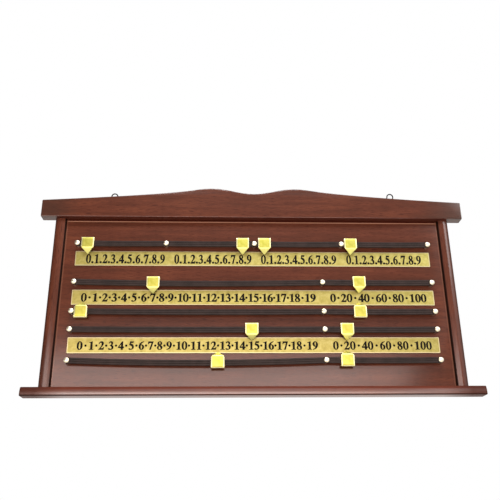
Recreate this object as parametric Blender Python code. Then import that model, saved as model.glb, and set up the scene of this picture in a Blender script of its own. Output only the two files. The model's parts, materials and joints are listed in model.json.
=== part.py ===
"""Wall-hung billiard scoreboard: a lacquered wooden frame with brass pointers on rubber runners.

X runs along the board to the right, Y towards the wall and Z up. The wall plane is y = 0, and
the origin lies on it, in the middle of the board's height. Heights below are measured from the
underside of the sill, and an empty at that height carries every piece.
"""
import math

import bmesh
import bpy
from mathutils import Vector

mm = 0.001

# Clearances
fit_gap = 0.3 * mm
bore_overrun = 2.0 * mm

# Faces that meet at less than this angle are shaded as one
smooth_angle = math.radians(42)

# Frame boards
board_length = 700.0 * mm
header_height = 54.0 * mm
header_depth = 17.5 * mm
header_arris = 1.6 * mm
sill_height = 14.0 * mm
sill_depth = 21.0 * mm
sill_nose_radius = 26.0 * mm
sill_nose_height = 3.0 * mm
sill_arris = 1.4 * mm
nose_steps = 8
stile_overhang = 23.5 * mm
stile_width = 16.5 * mm
stile_depth = 11.5 * mm
stile_crown = 1.8 * mm
stile_arris = 1.3 * mm
stile_crown_steps = 8
arris_steps = 2
bevel_limit = math.radians(35)

# Crest of the header: a dip in the middle, a hump on each side, a long shoulder to each end
crest_dip = 9.5 * mm
shoulder_drop = 23.5 * mm
hump_place = 67.0 * mm
dip_handle_share = 0.36
hump_inner_handle_share = 0.34
hump_outer_handle_share = 0.146
shoulder_handle_share = 0.98
shoulder_rise_share = 0.66
dip_steps = 9
shoulder_steps = 18

# Panel, with a tongue that lies in a rebate cut in the back of the frame
panel_thickness = 5.0 * mm
tongue_thickness = 3.4 * mm
tongue_width = 6.0 * mm
panel_chamfer = 3.0 * mm

# Dowels between the stiles and the long boards
dowel_radius = 2.5 * mm
dowel_length = 24.0 * mm
dowel_place_from_edge = 6.0 * mm
dowel_depth_place = 6.8 * mm
dowel_chamfer = 0.6 * mm
dowel_sides = 12

# Headed pins that hold the panel's tongue in the rebate
pin_shank_radius = 0.7 * mm
pin_head_radius = 1.5 * mm
pin_head_thickness = 0.6 * mm
pin_length = 9.0 * mm
pin_place_shares = {"left": -0.64, "middle": 0.0, "right": 0.64}
pin_sides = 8

# Number plates
plate_side_margin = 20.0 * mm
plate_width = 25.4 * mm
plate_thickness = 0.8 * mm
plate_corner = 0.8 * mm
plate_corner_steps = 2

# Spacing of the rows between sill and header, which makes a board 350 mm high
sill_to_lowest_runner = 41.0 * mm
runner_under_plate = 13.0 * mm
runner_over_plate = 10.7 * mm
facing_pointer_gap = 8.5 * mm
pointer_to_upper_plate = 19.8 * mm
top_runner_to_header = 46.4 * mm

# Rubber runner strips
strip_width = 9.0 * mm
strip_thickness = 3.6 * mm
strip_rib_depth = 0.6 * mm
strip_end_reach = 4.8 * mm
long_strip_sag = 4.0 * mm
strip_ribs = 3
strip_land_share = 0.72
strip_span_steps = 12
strip_taut_steps = 4
strip_end_steps = 4

# Turned studs that carry the strips
stud_inset = 3.5 * mm
stud_shank_radius = 1.5 * mm
stud_spigot_depth = 3.4 * mm
stud_collar_radius = 3.4 * mm
stud_collar_height = 5.8 * mm
stud_head_radius = 4.2 * mm
stud_head_rim = 0.5 * mm
stud_dome_height = 1.9 * mm
stud_sides = 12
stud_dome_steps = 3

# Folded sheet-brass pointers
sheet_thickness = 0.9 * mm
pointer_width = 20.3 * mm
pointer_bend_radius = 2.4 * mm
pointer_tip_half_width = 0.7 * mm
pointer_tip_clearance = 0.7 * mm
pointer_tip_bend = math.radians(50)
pointer_shoulder = 1.4 * mm
pointer_crown = 0.45 * mm
pointer_border_share = 0.78
pointer_drop_share = 0.7
pointer_lift = 1.3 * mm
pointer_leg_share = 0.72
bend_steps = 3
tip_bend_steps = 2

# Ring hangers on the back of the header
hanger_inset = 115.0 * mm
strap_width = 7.0 * mm
strap_length = 17.0 * mm
strap_thickness = 0.8 * mm
strap_screw_drop = 9.5 * mm
ring_wire_radius = 1.0 * mm
ring_half_width = 5.0 * mm
ring_leg = 9.5 * mm
ring_arc_steps = 12
ring_corner = 1.6 * mm
ring_corner_steps = 3
ring_wire_steps = 2
curl_end = math.radians(-55)
curl_steps = 10
screw_head_radius = 2.9 * mm
screw_head_height = 1.6 * mm
screw_shank_radius = 1.5 * mm
screw_length = 11.0 * mm
screw_slot_width = 0.8 * mm
screw_slot_depth = 0.8 * mm
screw_sides = 12
screw_dome_steps = 3
hanger_rises = {"left": 0.4 * mm, "right": 4.0 * mm}
hanger_turns = {"left": 0.0, "right": math.radians(10)}

# The five runners, from the top: whether they lie over or under their plate, the studs as shares
# of the length, the sag in each field as a share of the long sag, and where the pointers stand at
# rest, as shares of their free travel.
over = 1
under = -1
tens_stud_share = 0.69
taut = 0.15
runners = {
    1: {"side": over, "stud_shares": (0.0, 0.25, 0.5, 0.75, 1.0),
        "sag_shares": (taut, taut, taut, taut), "rest_shares": (0.017, 0.963, 0.019, 0.005)},
    2: {"side": over, "stud_shares": (0.0, tens_stud_share, 1.0),
        "sag_shares": (0.65, taut), "rest_shares": (0.301, 0.301)},
    3: {"side": under, "stud_shares": (0.0, tens_stud_share, 1.0),
        "sag_shares": (0.3, taut), "rest_shares": (0.0, 0.291)},
    4: {"side": over, "stud_shares": (0.0, tens_stud_share, 1.0),
        "sag_shares": (taut, taut), "rest_shares": (0.728, 0.139)},
    5: {"side": under, "stud_shares": (0.0, tens_stud_share, 1.0),
        "sag_shares": (1.0, taut), "rest_shares": (0.584, 0.122)},
}

# Sizes that follow from those above
stile_outer = board_length / 2 - stile_overhang
sight_half_width = stile_outer - stile_width
rebate_width = tongue_width + fit_gap
rebate_depth = tongue_thickness + fit_gap
plate_half_length = sight_half_width - plate_side_margin
stud_reach = plate_half_length - stud_inset
strip_back = stud_collar_height + fit_gap
strip_front = strip_back + strip_thickness
stud_head_base = strip_front + fit_gap
pointer_front = strip_front + fit_gap + sheet_thickness
pointer_back = strip_back - fit_gap - sheet_thickness
plate_half_width = plate_width / 2
pointer_room = pointer_drop_share * long_strip_sag + pointer_lift + strip_width / 2 + fit_gap
pointer_fold_edge = pointer_room + sheet_thickness
plate_front = fit_gap + plate_thickness
pointer_tip_end = plate_front + pointer_tip_clearance + sheet_thickness * math.sin(pointer_tip_bend)
stop_distance = stud_head_radius + fit_gap + pointer_width / 2
ring_pivot_depth = fit_gap + strap_thickness + fit_gap + ring_wire_radius
stile_dowel_place = stile_outer - dowel_place_from_edge

# Heights of the runners and the plates' middles above the sill's underside. A pointer over its
# plate hangs on the strip by its fold, so it stands higher by the lift.
runner_heights = {5: sill_height + sill_to_lowest_runner}
plate_heights = {"bottom": runner_heights[5] + runner_under_plate + plate_half_width}
runner_heights[4] = plate_heights["bottom"] + plate_half_width + runner_over_plate
facing_reach = 2 * pointer_fold_edge + pointer_lift
runner_heights[3] = runner_heights[4] + facing_reach + facing_pointer_gap
plate_heights["middle"] = runner_heights[3] + runner_under_plate + plate_half_width
runner_heights[2] = plate_heights["middle"] + plate_half_width + runner_over_plate
hanging_reach = pointer_fold_edge + pointer_lift
upper_plate_foot = runner_heights[2] + hanging_reach + pointer_to_upper_plate
plate_heights["top"] = upper_plate_foot + plate_half_width
runner_heights[1] = plate_heights["top"] + plate_half_width + runner_over_plate
header_underside = runner_heights[1] + top_runner_to_header
overall_height = header_underside + header_height


def clear_scene():
    for item in list(bpy.data.objects):
        bpy.data.objects.remove(item, do_unlink=True)


def make_material(name, colour, roughness, metallic):
    material = bpy.data.materials.new(name)
    material.use_nodes = True
    shader = material.node_tree.nodes["Principled BSDF"]
    shader.inputs["Base Color"].default_value = (*colour, 1.0)
    shader.inputs["Roughness"].default_value = roughness
    shader.inputs["Metallic"].default_value = metallic
    return material


def add_empty(name, parent=None, place=(0, 0, 0), turn=(0, 0, 0)):
    empty = bpy.data.objects.new(name, None)
    empty.location = place
    empty.rotation_euler = turn
    empty.parent = parent
    bpy.context.scene.collection.objects.link(empty)
    return empty


def add_object(name, data, parent, place=(0, 0, 0), turn=(0, 0, 0)):
    item = bpy.data.objects.new(name, data)
    item.location = place
    item.rotation_euler = turn
    item.parent = parent
    bpy.context.scene.collection.objects.link(item)
    return item


def finish_mesh(bm, name, material=None, smooth=None):
    bmesh.ops.recalc_face_normals(bm, faces=bm.faces)
    mesh = bpy.data.meshes.new(name)
    bm.to_mesh(mesh)
    bm.free()
    if material:
        mesh.materials.append(material)
    if smooth:
        mesh.shade_smooth()
        mesh.set_sharp_from_angle(angle=smooth)
    return mesh


def loft(bm, rings):
    """Close a solid through rings of points that each have the same count."""
    layers = [[bm.verts.new(point) for point in ring] for ring in rings]
    for lower, upper in zip(layers, layers[1:]):
        for k in range(len(lower)):
            m = (k + 1) % len(lower)
            bm.faces.new((lower[k], lower[m], upper[m], upper[k]))
    bm.faces.new(list(reversed(layers[0])))
    bm.faces.new(layers[-1])


def turned(bm, profile, sides, centre=(0, 0, 0), axis=(0, 0, 1)):
    """Spin a half profile of (radius, along) about an axis through the centre."""
    along = Vector(axis).normalized()
    across = along.orthogonal().normalized()
    start = Vector(centre)
    points = [start + across * radius + along * rise for radius, rise in profile]
    line = [bm.verts.new(point) for point in points]
    edges = [bm.edges.new(pair) for pair in zip(line, line[1:])]
    made = bmesh.ops.spin(bm, geom=line + edges, cent=start, axis=along, angle=2 * math.pi,
                          steps=sides, use_merge=True)
    rim = {v for v in made["geom_last"] if isinstance(v, bmesh.types.BMVert)} | set(line)
    on_axis = [v for v in bm.verts if (v.co - start).cross(along).length < fit_gap / 100]
    bmesh.ops.remove_doubles(bm, verts=list(set(on_axis) | rim), dist=fit_gap / 100)


def arc(centre, radius, start, end, steps):
    """Points on an arc, both ends included."""
    points = []
    for k in range(steps + 1):
        angle = start + (end - start) * k / steps
        points.append((centre[0] + radius * math.cos(angle), centre[1] + radius * math.sin(angle)))
    return points


def bezier(start, handle_a, handle_b, end, steps):
    """Points on a cubic curve, both ends included."""
    points = []
    for k in range(steps + 1):
        t = k / steps
        s = 1 - t
        weights = (s ** 3, 3 * s * s * t, 3 * s * t * t, t ** 3)
        corners = (start, handle_a, handle_b, end)
        points.append(tuple(sum(w * c[i] for w, c in zip(weights, corners)) for i in (0, 1)))
    return points


def bowed(start, end, bulge, steps):
    """Points on the shallow arc from start to end that rises by bulge on its left side."""
    run = Vector(end) - Vector(start)
    side = Vector((-run.y, run.x)).normalized()
    points = []
    for k in range(steps + 1):
        t = k / steps
        points.append(tuple(Vector(start) + run * t + side * bulge * 4 * t * (1 - t)))
    return points


def rounded(corners, radius, steps):
    """Round every corner of a closed outline."""
    points = []
    count = len(corners)
    for k in range(count):
        here = Vector(corners[k])
        before = (Vector(corners[k - 1]) - here).normalized()
        after = (Vector(corners[(k + 1) % count]) - here).normalized()
        half = before.angle(after) / 2
        reach = radius / math.tan(half)
        middle = here + (before + after).normalized() * radius / math.sin(half)
        first = here + before * reach - middle
        last = here + after * reach - middle
        for m in range(steps + 1):
            t = m / steps
            spoke = (first * (1 - t) + last * t).normalized() * radius
            points.append(tuple(middle + spoke))
    return points


def add_bevel(item, width, segments):
    bevel = item.modifiers.new("arris", "BEVEL")
    bevel.width = width
    bevel.segments = segments
    bevel.limit_method = "ANGLE"
    bevel.angle_limit = bevel_limit


def cut_with(item, cutter_mesh, name, parent):
    """Take a cutter's volume away from a piece."""
    cutter = add_object(name, cutter_mesh, parent)
    cutter.hide_render = True
    cutter.display_type = "WIRE"
    cut = item.modifiers.new(name, "BOOLEAN")
    cut.operation = "DIFFERENCE"
    cut.solver = "EXACT"
    cut.object = cutter


def box_ring(low, high, level):
    """Four corners of an upright rectangle at one depth."""
    return [(low[0], level, low[1]), (high[0], level, low[1]),
            (high[0], level, high[1]), (low[0], level, high[1])]


def add_box(bm, low, high):
    loft(bm, [box_ring((low[0], low[2]), (high[0], high[2]), low[1]),
              box_ring((low[0], low[2]), (high[0], high[2]), high[1])])


def add_bore(bm, radius, start, end, sides):
    """A straight round bore between two points."""
    run = Vector(end) - Vector(start)
    profile = [(0, 0), (radius, 0), (radius, run.length), (0, run.length)]
    turned(bm, profile, sides, centre=start, axis=run)


def crest_outline():
    """The header's top edge from the middle to the right-hand end."""
    dip = (0.0, overall_height - crest_dip)
    hump = (hump_place, overall_height)
    end = (board_length / 2, overall_height - shoulder_drop)
    run = end[0] - hump[0]
    rise = bezier(dip, (dip[0] + hump_place * dip_handle_share, dip[1]),
                  (hump[0] - hump_place * hump_inner_handle_share, hump[1]), hump, dip_steps)
    handle_height = end[1] + shoulder_drop * shoulder_rise_share
    fall = bezier(hump, (hump[0] + run * hump_outer_handle_share, hump[1]),
                  (end[0] - run * shoulder_handle_share, handle_height), end, shoulder_steps)
    return rise + fall[1:]


def crest_height(place):
    """Height of the header's top edge at a distance from the middle."""
    points = crest_outline()
    for (x0, z0), (x1, z1) in zip(points, points[1:]):
        if x0 <= abs(place) <= x1:
            return z0 + (z1 - z0) * (abs(place) - x0) / (x1 - x0)
    return points[-1][1]


def stud_places(number):
    return [stud_reach * (2 * share - 1) for share in runners[number]["stud_shares"]]


def pointer_places(number):
    """Where the pointers of a runner stand at rest, and how far each can slide either way."""
    places = []
    studs = stud_places(number)
    for left, right, share in zip(studs, studs[1:], runners[number]["rest_shares"]):
        low = left + stop_distance
        high = right - stop_distance
        rest = low + (high - low) * share
        places.append((rest, low - rest, high - rest))
    return places


def pin_spots():
    """Middle of each panel pin's head on the tongue, by name."""
    spots = {}
    for side, share in pin_place_shares.items():
        place = share * sight_half_width
        spots["top_" + side] = (place, header_underside + tongue_width / 2)
        spots["bottom_" + side] = (place, sill_height - tongue_width / 2)
    return spots


def add_dowel_bores(bm, level, reach):
    """A dowel bore over each stile, sunk from a level by a reach."""
    for side in (-1, 1):
        place = (side * stile_dowel_place, -dowel_depth_place)
        mouth = Vector((*place, level - math.copysign(bore_overrun, reach)))
        bottom = Vector((*place, level + reach))
        add_bore(bm, dowel_radius + fit_gap, mouth, bottom, dowel_sides)


def add_pin_bores(bm, row):
    for name, (x, z) in pin_spots().items():
        if name.startswith(row):
            bottom = -(pin_length + fit_gap)
            add_bore(bm, pin_shank_radius + fit_gap, (x, 0, z), (x, bottom, z), pin_sides)


def add_rebate(bm, low_height, high_height):
    half = sight_half_width + rebate_width
    add_box(bm, (-half, -rebate_depth, low_height), (half, bore_overrun, high_height))


def build_header(root, wood):
    """Serpentine header board with a stopped rebate along its underside."""
    right = crest_outline()
    left = [(-x, z) for x, z in reversed(right[1:])]
    half = board_length / 2
    outline = [(half, header_underside), (-half, header_underside)] + left + right
    bm = bmesh.new()
    loft(bm, [[(x, 0.0, z) for x, z in outline], [(x, -header_depth, z) for x, z in outline]])
    header = add_object("header_board", finish_mesh(bm, "header_board", wood, smooth_angle), root)
    add_bevel(header, header_arris, arris_steps)
    cutter = bmesh.new()
    add_rebate(cutter, header_underside - bore_overrun, header_underside + rebate_width)
    cut_with(header, finish_mesh(cutter, "header_rebate"), "header_rebate", root)
    bores = bmesh.new()
    add_dowel_bores(bores, header_underside, dowel_length / 2 + fit_gap)
    add_pin_bores(bores, "top")
    for side, sign in (("left", -1), ("right", 1)):
        x, z = hanger_screw_spot(side, sign)
        add_bore(bores, screw_shank_radius + fit_gap, (x, bore_overrun, z),
                 (x, -screw_length - fit_gap, z), screw_sides)
    cut_with(header, finish_mesh(bores, "header_bores"), "header_bores", root)


def build_sill(root, wood):
    """Sill board with a rounded front that is fullest low down."""
    radius = sill_nose_radius
    upper = math.pi - math.asin((sill_height - sill_nose_height) / radius)
    lower = math.pi + math.asin(sill_nose_height / radius)
    nose = arc((radius - sill_depth, sill_nose_height), radius, upper, lower, nose_steps)
    profile = [(0.0, 0.0), (0.0, sill_height)] + nose
    half = board_length / 2
    bm = bmesh.new()
    loft(bm, [[(x, y, z) for y, z in profile] for x in (-half, half)])
    sill = add_object("sill_board", finish_mesh(bm, "sill_board", wood, smooth_angle), root)
    add_bevel(sill, sill_arris, arris_steps)
    cutter = bmesh.new()
    add_rebate(cutter, sill_height - rebate_width, sill_height + bore_overrun)
    cut_with(sill, finish_mesh(cutter, "sill_rebate"), "sill_rebate", root)
    bores = bmesh.new()
    add_dowel_bores(bores, sill_height, -(dowel_length / 2 + fit_gap))
    add_pin_bores(bores, "bottom")
    cut_with(sill, finish_mesh(bores, "sill_bores"), "sill_bores", root)


def stile_profile(side):
    """Section of a stile: crowned front, eased arrises and the panel's rebate behind."""
    inner = sight_half_width
    outer = stile_outer
    shoulder = stile_depth - stile_crown
    arris = stile_arris
    start = (outer - arris, -shoulder)
    end = (inner + arris, -shoulder)
    front = bowed(start, end, stile_crown, stile_crown_steps)
    outer_arris = arc((start[0], arris - shoulder), arris, 0, -math.pi / 2, arris_steps)
    inner_arris = arc((end[0], arris - shoulder), arris, -math.pi / 2, -math.pi, arris_steps)
    back = [(inner, -rebate_depth), (inner + rebate_width, -rebate_depth),
            (inner + rebate_width, 0.0), (outer, 0.0)]
    points = outer_arris[:-1] + front + inner_arris[1:] + back
    return [(side * x, y) for x, y in points]


def build_stiles(root, wood):
    low = sill_height + fit_gap
    high = header_underside - fit_gap
    for name, side in (("left_stile", -1), ("right_stile", 1)):
        bm = bmesh.new()
        section = stile_profile(side)
        loft(bm, [[(x, y, z) for x, y in section] for z in (low, high)])
        stile = add_object(name, finish_mesh(bm, name, wood, smooth_angle), root)
        bores = bmesh.new()
        place = (side * stile_dowel_place, -dowel_depth_place)
        reach = dowel_length / 2 + fit_gap
        for level, way in ((sill_height, 1), (header_underside, -1)):
            mouth = (*place, level - way * bore_overrun)
            bottom = (*place, level + way * reach)
            add_bore(bores, dowel_radius + fit_gap, mouth, bottom, dowel_sides)
        cut_with(stile, finish_mesh(bores, name + "_bores"), name + "_bores", root)


def build_dowels(root, beech):
    half = dowel_length / 2
    end_radius = dowel_radius - dowel_chamfer
    profile = [(0, -half), (end_radius, -half), (dowel_radius, -half + dowel_chamfer),
               (dowel_radius, half - dowel_chamfer), (end_radius, half), (0, half)]
    for row, level in (("sill", sill_height), ("header", header_underside)):
        for side, sign in (("left", -1), ("right", 1)):
            name = row + "_dowel_" + side
            bm = bmesh.new()
            turned(bm, profile, dowel_sides)
            mesh = finish_mesh(bm, name, beech, smooth_angle)
            place = (sign * stile_dowel_place, -dowel_depth_place, level)
            add_object(name, mesh, root, place=place)


def build_panel(root, wood):
    """Panel with a chamfered field and a tongue that the frame's rebates cover."""
    reach = tongue_width
    inset = panel_chamfer
    low = (-sight_half_width, sill_height)
    high = (sight_half_width, header_underside)
    tongue = ((low[0] - reach, low[1] - reach), (high[0] + reach, high[1] + reach))
    field = ((low[0] + inset, low[1] + inset), (high[0] - inset, high[1] - inset))
    bm = bmesh.new()
    loft(bm, [box_ring(*tongue, 0.0), box_ring(*tongue, -tongue_thickness),
              box_ring(low, high, -tongue_thickness), box_ring(*field, -panel_thickness)])
    panel = add_object("back_panel", finish_mesh(bm, "back_panel", wood), root)
    bores = bmesh.new()
    for number in runners:
        for x in stud_places(number):
            z = runner_heights[number]
            bottom = -(panel_thickness - stud_spigot_depth - fit_gap)
            add_bore(bores, stud_shank_radius + fit_gap, (x, -panel_thickness - bore_overrun, z),
                     (x, bottom, z), stud_sides)
    for x, z in pin_spots().values():
        sink = pin_head_thickness + 2 * fit_gap
        head = pin_head_radius + fit_gap
        shank = pin_shank_radius + fit_gap
        through = tongue_thickness + bore_overrun
        profile = [(0, -bore_overrun), (head, -bore_overrun), (head, sink), (shank, sink),
                   (shank, through), (0, through)]
        turned(bores, profile, pin_sides, centre=(x, 0, z), axis=(0, -1, 0))
    cut_with(panel, finish_mesh(bores, "panel_bores"), "panel_bores", root)


def build_panel_pins(root, steel):
    """Headed pins, set flush in the back of the tongue."""
    top = fit_gap
    profile = [(0, top), (pin_head_radius, top), (pin_head_radius, top + pin_head_thickness),
               (pin_shank_radius, top + pin_head_thickness),
               (pin_shank_radius, pin_length - 2 * pin_shank_radius), (0, pin_length)]
    for spot, (x, z) in pin_spots().items():
        name = "panel_pin_" + spot
        bm = bmesh.new()
        turned(bm, profile, pin_sides, axis=(0, -1, 0))
        add_object(name, finish_mesh(bm, name, steel, smooth_angle), root, place=(x, 0, z))


def build_plates(root, brass):
    """Thin brass number plates with small rounded corners."""
    back = -(panel_thickness + fit_gap)
    half = (plate_half_length, plate_half_width)
    corners = [(-half[0], -half[1]), (half[0], -half[1]), (half[0], half[1]), (-half[0], half[1])]
    outline = rounded(corners, plate_corner, plate_corner_steps)
    for row, level in plate_heights.items():
        name = "number_plate_" + row
        bm = bmesh.new()
        loft(bm, [[(x, y, z) for x, z in outline] for y in (back, back - plate_thickness)])
        add_object(name, finish_mesh(bm, name, brass), root, place=(0, 0, level))


def strip_section(height_share):
    """Section of a runner strip as (height, distance from the panel), ribbed on the front."""
    half = strip_width / 2 * height_share
    groove = strip_front - strip_rib_depth
    points = [(half, strip_back), (-half, strip_back)]
    pitch = 2 * half / strip_ribs
    for k in range(strip_ribs):
        middle = -half + pitch * (k + 0.5)
        points.append((middle - pitch / 2 * strip_land_share, strip_front))
        points.append((middle + pitch / 2 * strip_land_share, strip_front))
        if k < strip_ribs - 1:
            points.append((middle + pitch / 2, groove))
    return points


def strip_stations(number):
    """Places along a strip with its sag and the share of its width there."""
    studs = stud_places(number)
    stations = []
    for k in range(1, strip_end_steps):
        angle = math.pi / 2 * k / strip_end_steps
        stations.append((studs[0] - strip_end_reach * math.cos(angle), 0.0, math.sin(angle)))
    sags = runners[number]["sag_shares"]
    for (left, right), share in zip(zip(studs, studs[1:]), sags):
        steps = strip_span_steps if share > taut else strip_taut_steps
        for k in range(steps):
            t = k / steps
            stations.append((left + (right - left) * t, share * long_strip_sag * 4 * t * (1 - t), 1.0))
    stations.append((studs[-1], 0.0, 1.0))
    for k in range(strip_end_steps - 1, 0, -1):
        angle = math.pi / 2 * k / strip_end_steps
        stations.append((studs[-1] + strip_end_reach * math.cos(angle), 0.0, math.sin(angle)))
    return stations


def build_strips(root, rubber):
    """Flexible ribbed strips, threaded over the studs' shanks."""
    for number in runners:
        name = "runner_strip_" + str(number)
        bm = bmesh.new()
        rings = []
        for x, sag, share in strip_stations(number):
            ring = [(x, -panel_thickness - d, z - sag) for z, d in strip_section(share)]
            rings.append(ring)
        loft(bm, rings)
        place = (0, 0, runner_heights[number])
        strip = add_object(name, finish_mesh(bm, name, rubber), root, place=place)
        holes = bmesh.new()
        for x in stud_places(number):
            z = runner_heights[number]
            front = -(panel_thickness + strip_front + bore_overrun)
            back = -(panel_thickness + strip_back - bore_overrun)
            add_bore(holes, stud_shank_radius + fit_gap, (x, front, z), (x, back, z), stud_sides)
        cut_with(strip, finish_mesh(holes, name + "_holes"), name + "_holes", root)


def stud_profile():
    """Half profile of a stud: spigot, spacing collar, shank and domed head."""
    shank = stud_shank_radius
    rim = stud_head_base + stud_head_rim
    dome = []
    for k in range(1, stud_dome_steps):
        angle = math.pi / 2 * k / stud_dome_steps
        dome.append((stud_head_radius * math.cos(angle), rim + stud_dome_height * math.sin(angle)))
    return [(0, -stud_spigot_depth), (shank, -stud_spigot_depth), (shank, fit_gap),
            (stud_collar_radius, fit_gap), (stud_collar_radius, stud_collar_height),
            (shank, stud_collar_height), (shank, stud_head_base),
            (stud_head_radius, stud_head_base), (stud_head_radius, rim), *dome,
            (0, rim + stud_dome_height)]


def build_studs(root, brass):
    for number in runners:
        for k, x in enumerate(stud_places(number), start=1):
            name = "runner_stud_" + str(number) + "_" + str(k)
            bm = bmesh.new()
            turned(bm, stud_profile(), stud_sides, axis=(0, -1, 0))
            place = (x, -panel_thickness, runner_heights[number])
            add_object(name, finish_mesh(bm, name, brass, smooth_angle), root, place=place)


def tapered(points):
    """Rows that narrow evenly along the sheet, from the full width to the blunt tip."""
    lengths = [0.0]
    for before, after in zip(points, points[1:]):
        lengths.append(lengths[-1] + math.dist(before, after))
    rows = []
    for (w, d), length in zip(points, lengths):
        left = 1 - length / lengths[-1]
        half = pointer_tip_half_width + (pointer_width / 2 - pointer_tip_half_width) * left
        rows.append((w, d, half, pointer_crown * left))
    return rows


def pointer_path():
    """Outer face of the folded pointer as (towards the tip, from the panel, half width, crown).

    It runs from the free end of the leg behind the strip, round the fold, up the front face and
    down the tip, which is bent back towards the number plate.
    """
    half = pointer_width / 2
    r = pointer_bend_radius
    edge = -pointer_fold_edge
    leg_end = edge + (pointer_fold_edge + pointer_room) * pointer_leg_share
    rows = [(leg_end, pointer_back, half, 0.0)]
    first = arc((edge + r, pointer_back + r), r, -math.pi / 2, -math.pi, bend_steps)
    second = arc((edge + r, pointer_front - r), r, math.pi, math.pi / 2, bend_steps)
    rows += [(w, d, half, 0.0) for w, d in first + second]
    rows[-1] = (*rows[-1][:3], pointer_crown)
    bend = arc((pointer_room, pointer_front - r), r, math.pi / 2, math.pi / 2 - pointer_tip_bend,
               tip_bend_steps)
    w, d = bend[-1]
    reach = (d - pointer_tip_end) / math.tan(pointer_tip_bend)
    shoulder = (pointer_room - pointer_shoulder, pointer_front)
    return rows + tapered([shoulder] + bend + [(w + reach, pointer_tip_end)])


def pointer_mesh(name, brass):
    """Sheet of the pointer, with a raised face inside sloping borders."""
    bm = bmesh.new()
    grid = []
    for w, d, half, crown in pointer_path():
        columns = ((-1.0, 0.0), (-pointer_border_share, crown), (pointer_border_share, crown), (1.0, 0.0))
        grid.append([bm.verts.new((half * share, -d - lift, -w)) for share, lift in columns])
    for row, below in zip(grid, grid[1:]):
        for k in range(len(row) - 1):
            bm.faces.new((row[k], below[k], below[k + 1], row[k + 1]))
    mesh = bpy.data.meshes.new(name)
    bm.normal_update()
    bm.to_mesh(mesh)
    bm.free()
    mesh.materials.append(brass)
    return mesh


def build_pointers(root, brass):
    """One pointer in each number field, tip down over a plate or tip up under it."""
    for number in runners:
        drop = pointer_drop_share * long_strip_sag
        for k, (x, back, forth) in enumerate(pointer_places(number), start=1):
            name = "score_pointer_" + str(number) + "_" + str(k)
            sag = drop * runners[number]["sag_shares"][k - 1]
            hangs = runners[number]["side"] == over
            turn = 0.0 if hangs else math.pi
            level = runner_heights[number] - sag + (pointer_lift if hangs else 0.0)
            place = (x, -panel_thickness, level)
            pointer = add_object(name, pointer_mesh(name, brass), root, place=place, turn=(0, turn, 0))
            sheet = pointer.modifiers.new("sheet", "SOLIDIFY")
            sheet.thickness = sheet_thickness
            sheet.offset = -1
            sheet.use_even_offset = True
            print(name, "rest", round(x / mm, 2), "slides", round(back / mm, 2), round(forth / mm, 2))


def hanger_place(side, sign):
    """Foot of a hanger's ring pivot in the wall plane."""
    x = sign * (board_length / 2 - hanger_inset)
    return x, crest_height(x) + hanger_rises[side]


def hanger_screw_spot(side, sign):
    """Where the strap's screw enters the header, below the pivot along the turned strap."""
    x, z = hanger_place(side, sign)
    turn = hanger_turns[side]
    drop = hanger_rises[side] + strap_screw_drop
    return x - drop * math.sin(turn), z - drop * math.cos(turn)


def build_strap(name, empty, steel, rise):
    """Sheet strap that lies on the header's back and curls round the ring's bar."""
    reach = rise + strap_length
    near = fit_gap
    outer = ring_wire_radius + fit_gap + strap_thickness
    curl = arc((ring_pivot_depth, 0.0), outer, math.pi, curl_end, curl_steps)
    path = [(near, -reach), (near, -reach / 2)] + curl
    half = strap_width / 2
    bm = bmesh.new()
    grid = [[bm.verts.new((x, y, z)) for x in (-half, half)] for y, z in path]
    for row, above in zip(grid, grid[1:]):
        bm.faces.new((row[0], row[1], above[1], above[0]))
    mesh = bpy.data.meshes.new(name)
    bm.normal_update()
    bm.to_mesh(mesh)
    bm.free()
    mesh.materials.append(steel)
    strap = add_object(name, mesh, empty)
    sheet = strap.modifiers.new("sheet", "SOLIDIFY")
    sheet.thickness = strap_thickness
    sheet.offset = -1
    sheet.use_even_offset = True
    hole = bmesh.new()
    drop = rise + strap_screw_drop
    add_bore(hole, screw_shank_radius + fit_gap, (0, -bore_overrun, -drop), (0, bore_overrun, -drop),
             screw_sides)
    cut_with(strap, finish_mesh(hole, name + "_hole"), name + "_hole", empty)


def build_ring(name, empty, steel):
    """Closed wire ring: a straight bar in the strap's curl, two legs and a round top."""
    r = ring_half_width
    top = arc((0.0, ring_leg), r, 0, math.pi, ring_arc_steps)
    bar_end = r - ring_corner
    left = arc((-bar_end, ring_corner), ring_corner, -math.pi, -math.pi / 2, ring_corner_steps)
    right = arc((bar_end, ring_corner), ring_corner, -math.pi / 2, 0, ring_corner_steps)
    route = top + left + right
    curve = bpy.data.curves.new(name, "CURVE")
    curve.dimensions = "3D"
    curve.bevel_depth = ring_wire_radius
    curve.bevel_resolution = ring_wire_steps
    spline = curve.splines.new("POLY")
    spline.points.add(len(route) - 1)
    for point, (x, z) in zip(spline.points, route):
        point.co = (x, 0.0, z, 1.0)
    spline.use_cyclic_u = True
    curve.materials.append(steel)
    add_object(name, curve, empty, place=(0, ring_pivot_depth, 0))


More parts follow.
